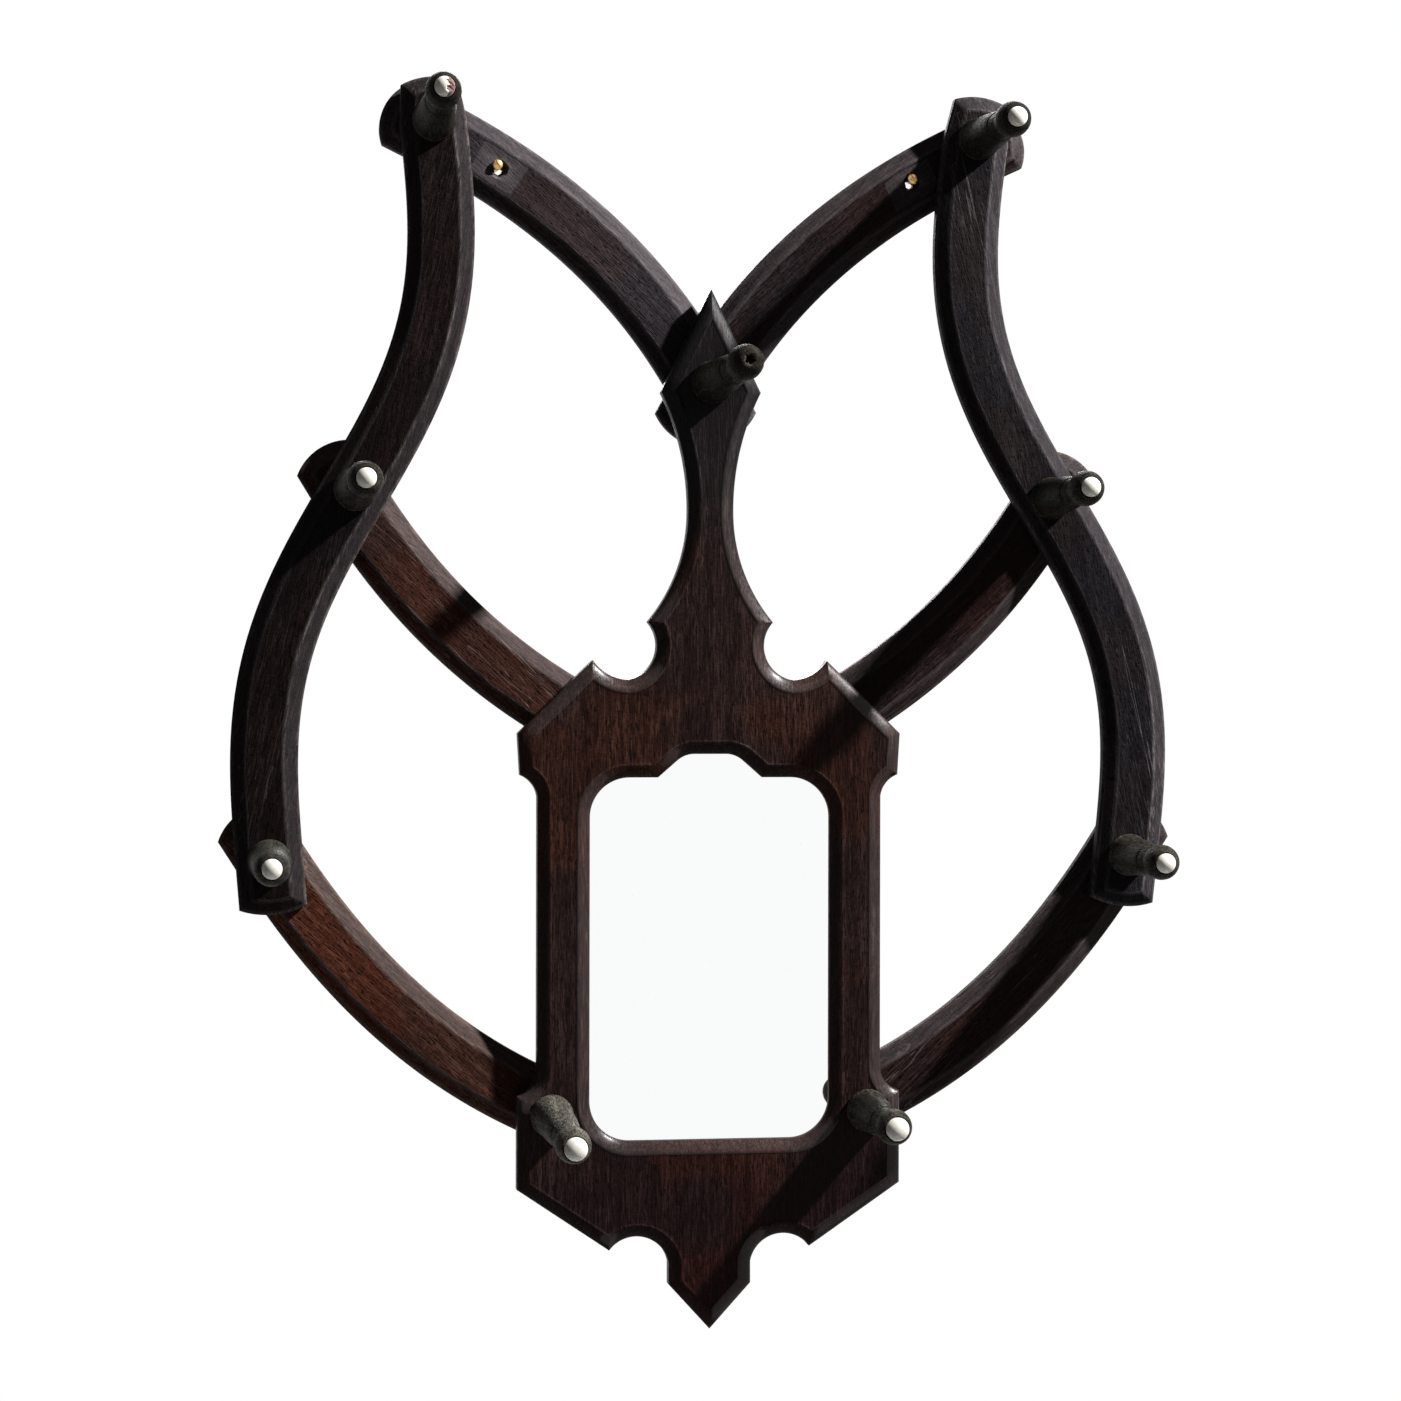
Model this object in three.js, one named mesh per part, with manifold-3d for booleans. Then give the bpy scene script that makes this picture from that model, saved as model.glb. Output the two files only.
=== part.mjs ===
// Folding hat and coat rack with a mirror, for a wall.
// A pierced and moulded wooden board holds the mirror. On each side a wing of three curved links
// carries an S-curved outer arm, so each wing is a parallelogram that folds up and down.
// Nine turned pegs are the pivots as well as the hooks. Eight keep their white ceramic tip.
// Millimetres. X to the right, Y into the wall, Z up.
// The origin is where the axis of the top peg meets the wall.
import * as THREE from "three";
import Module from "manifold-3d";

const wasm = await Module();
wasm.setup();

// General clearance between two pieces that rest on or run in each other.
const rest = 0.3;

// Pivot layout of one wing, from the top pivot.
const pivotDrop = 361;
const pivotHalfSpread = 79;
const middleHalfSpread = 37.8;
const linkReach = 137.4;
const linkRise = 125.8;

// Flat stock of the wings: three layers lie one in front of the other, layer 0 on the wall.
const armThickness = 9.5;
const layerStep = armThickness + rest;
const frontLayer = 2;
const linkWidth = 34;
const outerArmWidth = 32.8;
const chamferWidth = 7;
const chamferDepth = 3.5;
const linkInnerEndRadius = 28.5;

// Shape of each link, measured from the straight line between its pivots, downwards and outwards
// positive: its bow, how far the fullest point is moved along it, and the centreline's distance
// from the inner and from the outer pivot; then the radius of its outer end round the pivot.
const upperCurve = { bow: -15, shift: -0.07, inner: 2, outer: 2.9, end: 24 };
const middleCurve = { bow: 15, shift: -0.02, inner: -1.5, outer: 3.1, end: 27.5 };
const lowerCurve = { bow: 14.5, shift: -0.11, inner: -2.5, outer: -0.8, end: 26.5 };

// The two wings were cut by hand: how far each outer arm swings from its line, and how much lower
// the upper link's centreline passes the outer pivot.
const wave = { left: 19, right: 20.7 };
const upperLinkDrop = { left: 0, right: 1.8 };

// Ends of the outer arm: corner distance beyond the pivot, rise of the end's arc, half width.
const armTopTaper = 2.4;
const armTop = { reach: 19, rise: 3, half: outerArmWidth / 2 - armTopTaper };
const armFoot = { reach: 23, rise: 3.4, half: outerArmWidth / 2 };

// Board.
const boardThickness = 11;
const boardHalfWidth = 95.8;
const stileHalfWidth = 86;
const openingHalfWidth = 60;
const openingFoot = -374.6;
const openingShoulder = -195.2;
const mouldingWidth = 6.2;
const mouldingDepth = 4;
const quirkWidth = 0.5;
const quirkDepth = 0.5;
const mouldingSteps = 3;

// Mirror, its rebate in the back of the board, the backing and the sprigs that hold it.
const rebateWidth = 4.5;
const rebateDepth = 6;
const glassThickness = 2.5;
const backingThickness = 1.8;
const sprigLength = 9;
const sprigWidth = 4;
const sprigThickness = 0.6;
const sprigBite = 4;

// Pegs. Profile stations are radius and distance from the face that the peg stands on.
const pegLength = 70;
const pegRim = 10.6;
const pegFlare = [
  [10.6, 2], [9.7, 7], [9.3, 16], [8.9, 26], [8.2, 36], [6.9, 44], [6.1, 49], [7, 54], [8.1, 60],
  [8, 64.5], [7.1, 68],
];
const pegFlareSteps = 14;
const pegSides = 14;
const tenonRadius = 6;
const tipRadius = 4.8;
const footTipRadius = 5.6;
const tipSocketDepth = 2.6;
const tipCylinder = 0.6;
const tipRise = 2.7;
const tipSeatLip = 0.4;
const brokenTipHole = { radius: 1.7, depth: 6 };

// How far the loose pegs lean over their length: to the right and up.
const pegLean = {
  top: [7, 4.2],
  left_foot: [4, -6.4],
  left_upper: [0.2, 3.2],
  left_middle: [2, 1],
  right_upper: [2.2, -0.9],
  right_middle: [1.3, 1.4],
  right_lower: [-1.9, -0.6],
};

// Screws and washers behind the pegs, in counterbores in the rearmost link.
const counterboreRadius = 9.5;
const counterboreDepth = 4;
const washerRadius = 8.8;
const washerThickness = 1.1;
const screwRadius = 1.8;
const screwHeadRadius = 3.8;
const screwHeadHeight = 1.7;
const screwLength = 18;
const pivotScrewRadius = 2;
const pivotScrewHeadRadius = 5;
const pivotScrewBite = 7;
const distanceWasherRadius = 11;

// Brass wall screws: the worn hanging hole in each upper link, inward and down from the outer
// pivot, and the screw near the hole's upper edge.
const wallHole = [linkReach - 32.6, linkRise - 21.4];
const wallHoleRadius = 4.1;
const wallScrewOffset = [0.7, 2];
const wallScrewRadius = 1.6;
const wallScrewHeadRadius = 2.6;
const wallScrewHeadHeight = 1.9;

// Steps along the curved arms and their end arcs, sides of holes and fixings, and how far a cutter
// runs past a face.
const linkSteps = 12;
const outerArmSteps = 20;
const holeSides = 20;
const endSteps = 6;
const fixingSides = 10;
const capOverrun = 1;

// A closed body from points and triangles; equal points are joined and flat triangles dropped.
function closedBody(points, triangles) {
  const seen = new Map();
  const positions = [];
  const merged = points.map((point) => {
    const key = point.map((value) => Math.round(value * 1e4)).join(" ");
    if (!seen.has(key)) {
      seen.set(key, positions.length / 3);
      positions.push(...point);
    }
    return seen.get(key);
  });
  const index = [];
  for (const triangle of triangles) {
    const [a, b, c] = triangle.map((corner) => merged[corner]);
    if (a !== b && b !== c && a !== c) {
      index.push(a, b, c);
    }
  }
  const geometry = new THREE.BufferGeometry();
  geometry.setAttribute("position", new THREE.Float32BufferAttribute(positions, 3));
  geometry.setIndex(index);
  return geometry;
}

// Points from one corner to the next along an arc whose middle stands out by the rise.
function arcPoints(from, to, rise, count) {
  const start = new THREE.Vector2(...from);
  const chord = new THREE.Vector2(...to).sub(start);
  const half = chord.length() / 2;
  const right = new THREE.Vector2(chord.y, -chord.x).normalize();
  const radius = (half * half + rise * rise) / (2 * rise);
  const reach = Math.asin(half / Math.abs(radius));
  const middle = start.clone().addScaledVector(chord, 0.5).addScaledVector(right, rise - radius);
  const along = chord.clone().normalize();
  const points = [];
  for (let step = 0; step < count; step += 1) {
    const angle = reach * (2 * step / count - 1);
    const point = middle.clone().addScaledVector(along, Math.abs(radius) * Math.sin(angle));
    points.push(point.addScaledVector(right, radius * Math.cos(angle)).toArray());
  }
  return points;
}

// A loop from stations [x, z, rise to the next station, steps to the next station].
function loopFrom(stations) {
  return stations.flatMap(([x, z, rise = 0, count = 1], place) => {
    const next = stations[(place + 1) % stations.length];
    return rise === 0 ? [[x, z]] : arcPoints([x, z], next, rise, count);
  });
}

// Both halves of a symmetric loop from the stations of its right half, bottom to top.
function symmetricLoop(half) {
  const right = loopFrom(half);
  const left = right.filter(([x]) => x > 0).reverse().map(([x, z]) => [-x, z]);
  return [...right, ...left];
}

function distanceToLoop([x, z], loop) {
  let least = Infinity;
  loop.forEach(([ax, az], place) => {
    const [bx, bz] = loop[(place + 1) % loop.length];
    const along = ((x - ax) * (bx - ax) + (z - az) * (bz - az)) / ((bx - ax) ** 2 + (bz - az) ** 2);
    const held = Math.min(1, Math.max(0, along));
    least = Math.min(least, Math.hypot(ax + held * (bx - ax) - x, az + held * (bz - az) - z));
  });
  return least;
}

function crossing([ax, az], [bx, bz], [cx, cz], [dx, dz]) {
  const turn = (bx - ax) * (dz - cz) - (bz - az) * (dx - cx);
  const along = ((cx - ax) * (dz - cz) - (cz - az) * (dx - cx)) / turn;
  return [ax + along * (bx - ax), az + along * (bz - az)];
}

// The loop moved inward by a width, with as many points; where two curves would cross at a cusp,
// their points gather at the crossing.
function inset(loop, width) {
  const count = loop.length;
  if (width === 0) {
    return loop;
  }
  const moved = loop.map((point, place) => {
    const before = loop[(place + count - 1) % count];
    const after = loop[(place + 1) % count];
    const first = new THREE.Vector2(before[1] - point[1], point[0] - before[0]).normalize();
    const second = new THREE.Vector2(point[1] - after[1], after[0] - point[0]).normalize();
    const spread = width / (1 + first.dot(second));
    return [point[0] + spread * (first.x + second.x), point[1] + spread * (first.y + second.y)];
  });
  const tolerance = 0.04;
  const kept = moved.map((point) => distanceToLoop(point, loop) > Math.abs(width) - tolerance);
  const start = kept.indexOf(true);
  let place = start;
  while (place < start + count) {
    let last = place;
    while (!kept[(last + 1) % count]) {
      last += 1;
    }
    if (last > place) {
      const from = moved[place % count];
      const fromNext = moved[(place + 1) % count];
      const meeting = crossing(from, fromNext, moved[(last + 1) % count], moved[last % count]);
      for (let gathered = place + 1; gathered <= last; gathered += 1) {
        moved[gathered % count] = meeting;
      }
    }
    place = last + 1;
  }
  return moved;
}

function withoutRepeats(loop) {
  return loop.filter(([x, z], place) => {
    const [bx, bz] = loop[(place + loop.length - 1) % loop.length];
    return Math.hypot(x - bx, z - bz) > 1e-4;
  });
}

// A body between loops at growing distance from the wall, with an optional opening through it.
// Each section is { y, loop }; every loop runs anticlockwise as seen from the front.
function sectionedBody(outside, opening = []) {
  const points = [];
  const triangles = [];
  const addSide = (sections, inward) => {
    for (let level = 0; level + 1 < sections.length; level += 1) {
      const count = sections[level].loop.length;
      const base = points.length;
      for (const { y, loop } of [sections[level], sections[level + 1]]) {
        points.push(...loop.map(([x, z]) => [x, y, z]));
      }
      for (let place = 0; place < count; place += 1) {
        const next = (place + 1) % count;
        const quad = [base + place, base + next, base + count + next, base + count + place];
        const [a, b, c, d] = inward ? quad.reverse() : quad;
        triangles.push([a, b, d], [b, c, d]);
      }
    }
  };
  const addCap = (section, hole, toFront) => {
    const contour = withoutRepeats(section.loop).map((point) => new THREE.Vector2(...point));
    const holes = hole ? [withoutRepeats(hole.loop).map((point) => new THREE.Vector2(...point))] : [];
    const faces = THREE.ShapeUtils.triangulateShape(contour, holes.map((entry) => [...entry]));
    const base = points.length;
    points.push(...[...contour, ...holes.flat()].map((point) => [point.x, section.y, point.y]));
    for (const [a, b, c] of faces) {
      const corners = [a, b, c].map((corner) => points[base + corner]);
      const [p, q, r] = corners;
      const area = (q[0] - p[0]) * (r[2] - p[2]) - (q[2] - p[2]) * (r[0] - p[0]);
      const forward = area > 0 === toFront ? [a, b, c] : [a, c, b];
      triangles.push(forward.map((corner) => base + corner));
    }
  };
  addSide(outside, false);
  addSide(opening, true);
  addCap(outside[0], opening[0], false);
  addCap(outside[outside.length - 1], opening[opening.length - 1], true);
  return closedBody(points, triangles);
}

// A turned body round the Y axis. Stations are [radius, distance in front of its own origin];
// they start and end on the axis, rear end first. What stands in front of the origin leans
// sideways in proportion, by the given slope to the right and up.
function turnedBody(stations, sides, [slopeX, slopeZ] = [0, 0]) {
  const points = [];
  const triangles = [];
  stations.forEach(([radius, forward]) => {
    const out = Math.max(0, forward - rest);
    for (let side = 0; side < sides; side += 1) {
      const angle = 2 * Math.PI * side / sides;
      const x = radius * Math.cos(angle) + slopeX * out;
      points.push([x, -forward, radius * Math.sin(angle) + slopeZ * out]);
    }
  });
  for (let station = 0; station + 1 < stations.length; station += 1) {
    for (let side = 0; side < sides; side += 1) {
      const a = station * sides + side;
      const b = station * sides + (side + 1) % sides;
      triangles.push([a, b, b + sides], [a, b + sides, a + sides]);
    }
  }
  return closedBody(points, triangles);
}

// A ring round the Y axis between two distances in front of its own origin.
function ringBody(outer, inner, rear, front, sides) {
  const circle = (radius) => {
    return Array.from({ length: sides }, (_, side) => {
      const angle = 2 * Math.PI * side / sides;
      return [radius * Math.cos(angle), radius * Math.sin(angle)];
    });
  };
  const ends = [-rear, -front];
  const levels = (radius) => ends.map((y) => ({ y, loop: circle(radius) }));
  return sectionedBody(levels(outer), levels(inner));
}

// A round cutter along Y between two heights, centred on [x, z].
function roundCutter([x, z], radius, rear, front) {
  const cutter = new THREE.CylinderGeometry(radius, radius, rear - front, holeSides);
  cutter.translate(x, (rear + front) / 2, z);
  return cutter;
}

function toSolid(geometry) {
  const position = geometry.getAttribute("position");
  const source = geometry.getIndex();
  const points = [];
  const triangles = [];
  for (let place = 0; place < position.count; place += 1) {
    points.push([position.getX(place), position.getY(place), position.getZ(place)]);
  }
  for (let place = 0; place < source.count; place += 3) {
    triangles.push([source.getX(place), source.getX(place + 1), source.getX(place + 2)]);
  }
  const body = closedBody(points, triangles);
  const vertProperties = Float32Array.from(body.getAttribute("position").array);
  const triVerts = Uint32Array.from(body.getIndex().array);
  return new wasm.Manifold(new wasm.Mesh({ numProp: 3, vertProperties, triVerts }));
}

function cut(geometry, cutters) {
  let solid = toSolid(geometry);
  for (const cutter of cutters) {
    solid = solid.subtract(toSolid(cutter));
  }
  const mesh = solid.getMesh();
  const result = new THREE.BufferGeometry();
  result.setAttribute("position", new THREE.Float32BufferAttribute(mesh.vertProperties, 3));
  result.setIndex(Array.from(mesh.triVerts));
  return result;
}

const finishes = {
  oak: { color: 0x2b1712, roughness: 0.5, metalness: 0 },
  turnedOak: { color: 0x241c18, roughness: 0.45, metalness: 0 },
  ceramic: { color: 0xe9e9e4, roughness: 0.15, metalness: 0 },
  mirror: { color: 0xf4f6f6, roughness: 0.03, metalness: 1 },
  backing: { color: 0x6b4a2f, roughness: 0.8, metalness: 0 },
  steel: { color: 0x6e6a64, roughness: 0.45, metalness: 1 },
  brass: { color: 0xb08a4a, roughness: 0.4, metalness: 1 },
};

const rack = new THREE.Group();

function place(parent, name, geometry, finish, at = [0, 0, 0]) {
  geometry.computeVertexNormals();
  const mesh = new THREE.Mesh(geometry, new THREE.MeshStandardMaterial(finishes[finish]));
  mesh.name = name;
  mesh.position.set(...at);
  parent.add(mesh);
}

const layerBack = (layer) => -layer * layerStep;
const layerFront = (layer) => layerBack(layer) - armThickness;
const boardBack = layerBack(frontLayer);
const boardFront = boardBack - boardThickness;
const runningRadius = tenonRadius + rest;

const sides = {
  left: { sign: -1, outerLayer: 2, linkLayer: 1 },
  right: { sign: 1, outerLayer: 1, linkLayer: 0 },
};
const innerPivots = (sign) => ({
  upper: [0, 0],
  middle: [sign * middleHalfSpread, -pivotDrop / 2],
  lower: [sign * pivotHalfSpread, -pivotDrop],
});
const reachOf = (sign) => [sign * linkReach, linkRise];
const shifted = ([x, z], [dx, dz]) => [x + dx, z + dz];

// Offset of a link's centreline at a share u of its length: fullest near the middle.
const bowed = ({ bow, shift, inner, outer }) => (u) => {
  return 4 * bow * u * (1 - u) * (1 + shift * (2 * u - 1)) + inner * (1 - u) + outer * u;
};
const waved = (lean, width) => (u) => {
  return lean * Math.sin(Math.PI * u) + width * Math.sin(2 * Math.PI * u);
};

// Outline of a curved arm from its first pivot at the origin to its second.
// The offset is to the left of that line on the left wing, and mirrored on the right wing.
function armOutline(chord, offset, sign, head, foot, half, steps) {
  const line = new THREE.Vector2(...chord);
  const left = new THREE.Vector2(-line.y, line.x).normalize().multiplyScalar(-sign);
  const centre = (u) => line.clone().multiplyScalar(u).addScaledVector(left, offset(u));
  const heading = (u) => centre(u + 0.005).sub(centre(u - 0.005)).normalize();
  const startLine = heading(0);
  const endLine = heading(1);
  const edge = (point, direction, across) => {
    return [point.x - direction.y * across, point.y + direction.x * across];
  };
  const start = centre(0).addScaledVector(startLine, -head.reach);
  const end = centre(1).addScaledVector(endLine, foot.reach);
  const first = [];
  const second = [];
  for (let step = 0; step <= steps; step += 1) {
    const u = step / steps;
    first.push(edge(centre(u), heading(u), -half));
    second.unshift(edge(centre(u), heading(u), half));
  }
  const footStart = edge(end, endLine, -foot.half);
  const footEnd = edge(end, endLine, foot.half);
  const headStart = edge(start, startLine, head.half);
  const headEnd = edge(start, startLine, -head.half);
  const footArc = arcPoints(footStart, footEnd, foot.rise, endSteps);
  const headArc = arcPoints(headStart, headEnd, head.rise, endSteps);
  return [...first, ...footArc, footEnd, ...second, ...headArc, headEnd];
}

function armBody(outline) {
  return sectionedBody([
    { y: 0, loop: outline },
    { y: chamferDepth - armThickness, loop: outline },
    { y: -armThickness, loop: inset(outline, chamferWidth) },
  ]);
}

const linkHalf = linkWidth / 2;
const roundEnd = (radius) => {
  const reach = Math.sqrt(radius ** 2 - linkHalf ** 2);
  return { reach, rise: radius - reach, half: linkHalf };
};
const innerEnd = roundEnd(linkInnerEndRadius);

// Hole for a tenon, with the counterbore for its washer in the back.
const tenonCuts = (at) => [
  roundCutter(at, runningRadius, capOverrun, -armThickness - capOverrun),
  roundCutter(at, counterboreRadius, capOverrun, -counterboreDepth),
];
const tenonHole = (at) => [roundCutter(at, runningRadius, capOverrun, -armThickness - capOverrun)];
const hiddenCuts = (at) => [
  roundCutter(at, pivotScrewRadius + rest, capOverrun, -armThickness - capOverrun),
  roundCutter(at, counterboreRadius, capOverrun, -counterboreDepth),
];

// Stations of a peg whose tenon reaches back from the standing face by the given length, with the
// given front of its head.
function pegStations(tenon, headFront) {
  const boreRadius = screwRadius + rest;
  const boreEnd = screwLength + rest - tenon;
  const flare = new THREE.SplineCurve(pegFlare.map(([r, s]) => new THREE.Vector2(r, s)));
  const side = flare.getPoints(pegFlareSteps).map((point) => [point.x, point.y]);
  return [
    [0, boreEnd],
    [boreRadius, boreEnd],
    [boreRadius, -tenon],
    [tenonRadius, -tenon],
    [tenonRadius, rest],
    [pegRim, rest],
    ...side,
    ...headFront,
  ];
}

const tipSeat = (tip) => [
  [tip + rest + tipSeatLip, pegLength],
  [tip + rest, pegLength],
  [tip + rest, pegLength - tipSocketDepth],
  [0, pegLength - tipSocketDepth],
];
const brokenSeat = [
  [tipRadius + rest, pegLength],
  [brokenTipHole.radius + 1, pegLength + tipSeatLip],
  [brokenTipHole.radius, pegLength - tipSeatLip],
  [brokenTipHole.radius - 0.5, pegLength - brokenTipHole.depth],
  [0, pegLength - brokenTipHole.depth - 0.5],
];

function tipStations(tip) {
  const back = pegLength - tipSocketDepth + rest;
  const edge = pegLength + tipCylinder;
  const domeRadius = (tip ** 2 + tipRise ** 2) / (2 * tipRise);
  const dome = [0.8, 0.55, 0.28].map((share) => {
    const radius = tip * share;
    return [radius, edge + tipRise - domeRadius + Math.sqrt(domeRadius ** 2 - radius ** 2)];
  });
  return [[0, back], [tip, back], [tip, edge], ...dome, [0, edge + tipRise]];
}

// Screw with a domed head at the rear: the head's underside is at its own origin.
function screwStations(headRadius, headHeight, shankRadius, length) {
  return [
    [0, -headHeight],
    [headRadius * 0.55, -headHeight * 0.9],
    [headRadius * 0.88, -headHeight * 0.55],
    [headRadius, 0],
    [shankRadius, 0],
    [shankRadius, length - shankRadius],
    [0, length],
  ];
}

// A peg at [x, z] on a face, through pieces whose rear face is at rearBack, with its fixings and
// a tip of the given radius; a radius of 0 is a peg that has lost its tip.
function addPeg(parent, name, [x, z], frontFace, rearBack, tip = tipRadius) {
  const floor = rearBack - counterboreDepth;
  const at = [x, frontFace, z];
  const slope = (pegLean[name] ?? [0, 0]).map((lean) => lean / pegLength);
  const stations = pegStations(floor - frontFace, tip > 0 ? tipSeat(tip) : brokenSeat);
  place(parent, `${name}_peg`, turnedBody(stations, pegSides, slope), "turnedOak", at);
  if (tip > 0) {
    place(parent, `${name}_tip`, turnedBody(tipStations(tip), pegSides, slope), "ceramic", at);
  }
  const washer = ringBody(washerRadius, screwRadius + rest, -rest - washerThickness, -rest, fixingSides);
  place(parent, `${name}_washer`, washer, "steel", [x, floor, z]);
  const screw = screwStations(screwHeadRadius, screwHeadHeight, screwRadius, screwLength);
  const screwSeat = floor + 2 * rest + washerThickness;
  place(parent, `${name}_screw`, turnedBody(screw, fixingSides), "steel", [x, screwSeat, z]);
}

// Right half of the board's outline, from its lowest point up to its apex.
const boardHalf = [
  [0, -468.5],
  [20.5, -446],
  [20.5, -435.1, -9.8, 9],
  [50.1, -428.6],
  [boardHalfWidth, -397.7],
  [boardHalfWidth, -351.8, -2.3, 4],
  [stileHalfWidth, -340.6],
  [stileHalfWidth, -204.6, -1.9, 4],
  [boardHalfWidth - 1.2, -193.9],
  [boardHalfWidth, -173.4],
  [58.7, -137.3, -2.4, 5],
  [41.2, -146.9, -9, 9],
  [31.4, -118.3, -5.2, 7],
  [11.3, -63.6, -3.6, 7],
  [25, -4.5],
  [0, 46.6],
];

// Right half of the opening, from its foot up to its arch.
const openingHalf = [
  [openingHalfWidth - 20, openingFoot, 5.86, 6],
  [openingHalfWidth, openingFoot + 20],
  [openingHalfWidth, openingShoulder - 20, 5.8, 6],
  [openingHalfWidth - 19.5, openingShoulder],
  [26.1, openingShoulder],
  [16.5, -186.8, 0.82, 3],
  [7.9, -183.6],
];

const boardLoop = symmetricLoop(boardHalf);
const openingLoop = symmetricLoop(openingHalf);
const glassLoop = inset(openingLoop, rest - rebateWidth);
const rebateLoop = inset(openingLoop, -rebateWidth);

// Quarter-round moulding round an edge, from the edge to the sunk line at the flat.
function mouldingSections(loop, inward) {
  const sections = [];
  for (let step = 0; step <= mouldingSteps; step += 1) {
    const angle = Math.PI / 2 * step / mouldingSteps;
    const across = mouldingWidth * (1 - Math.cos(angle));
    const level = boardFront + mouldingDepth * (1 - Math.sin(angle));
    sections.push({ y: level, loop: inset(loop, inward * across) });
  }
  const flat = inset(loop, inward * (mouldingWidth + quirkWidth));
  sections.push({ y: boardFront + quirkDepth, loop: flat });
  return sections;
}

const sprigHeights = [-250, -330];
const sprigBack = boardBack - rest;
const rebateSide = openingHalfWidth + rebateWidth;

function addCentre(parent) {
  const outside = [{ y: boardBack, loop: boardLoop }, ...mouldingSections(boardLoop, 1)];
  const rebateFloor = boardBack - rebateDepth;
  const opening = [
    { y: boardBack, loop: rebateLoop },
    { y: rebateFloor, loop: rebateLoop },
    { y: rebateFloor, loop: openingLoop },
    ...mouldingSections(openingLoop, -1),
  ];
  const holes = [[0, 0]];
  const cutters = [];
  for (const { sign } of Object.values(sides)) {
    const pivots = innerPivots(sign);
    holes.push(pivots.lower);
    const bite = boardBack - pivotScrewBite - rest;
    cutters.push(roundCutter(pivots.middle, pivotScrewRadius + rest, boardBack + capOverrun, bite));
    for (const height of sprigHeights) {
      const slot = new THREE.BoxGeometry(2 * sprigBite, sprigThickness + 2 * rest, sprigWidth + 2 * rest);
      slot.translate(sign * rebateSide, sprigBack - sprigThickness / 2, height);
      cutters.push(slot);
    }
  }
  for (const hole of holes) {
    cutters.push(roundCutter(hole, runningRadius, boardBack + capOverrun, boardFront - capOverrun));
  }
  place(parent, "mirror_frame", cut(sectionedBody(outside, opening), cutters), "oak");
  const glassFront = rebateFloor + rest;
  const glass = [{ y: glassFront + glassThickness, loop: glassLoop }, { y: glassFront, loop: glassLoop }];
  place(parent, "mirror_glass", sectionedBody(glass), "mirror");
  const backingFront = glassFront + glassThickness + rest;
  const backing = [
    { y: backingFront + backingThickness, loop: glassLoop },
    { y: backingFront, loop: glassLoop },
  ];
  place(parent, "mirror_backing", sectionedBody(backing), "backing");
}

addCentre(rack);

// The two lower pivots of the board and its two hidden middle pivots.
function addPivotFixings(parent, side, { sign, linkLayer }) {
  const pivots = innerPivots(sign);
  const linkBack = layerBack(linkLayer);
  const floor = linkBack - counterboreDepth;
  addPeg(parent, `${side}_foot`, pivots.lower, boardFront, linkBack, footTipRadius);
  const [x, z] = pivots.middle;
  const length = floor + rest - boardBack + pivotScrewBite;
  const screw = screwStations(pivotScrewHeadRadius, screwHeadHeight, pivotScrewRadius, length);
  place(parent, `${side}_hidden_screw`, turnedBody(screw, fixingSides), "steel", [x, floor + rest, z]);
  const gap = boardBack - layerFront(linkLayer);
  if (gap < -armThickness) {
    const thickness = -gap - 2 * rest;
    const spacer = (radius) => ringBody(distanceWasherRadius, radius, rest, rest + thickness, holeSides);
    const linkFront = layerFront(linkLayer);
    const [footX, footZ] = pivots.lower;
    place(parent, `${side}_foot_spacer`, spacer(runningRadius), "oak", [footX, linkFront, footZ]);
    place(parent, `${side}_hidden_spacer`, spacer(pivotScrewRadius + rest), "oak", [x, linkFront, z]);
  }
}

function addSprigs(parent, side, { sign }) {
  sprigHeights.forEach((height, order) => {
    const tongue = [
      [0, -sprigWidth / 2],
      [sprigBite - rest, -sprigWidth / 4],
      [sprigBite - rest, sprigWidth / 4],
      [0, sprigWidth / 2],
      [sprigBite - sprigLength, sprigWidth / 2],
      [sprigBite - sprigLength, -sprigWidth / 2],
    ];
    const loop = sign > 0 ? tongue : tongue.map(([x, z]) => [-x, z]).reverse();
    const sprig = sectionedBody([{ y: 0, loop }, { y: -sprigThickness, loop }]);
    const name = `${side}_${order ? "lower" : "upper"}_sprig`;
    place(parent, name, sprig, "steel", [sign * rebateSide, sprigBack, height]);
  });
}

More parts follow.
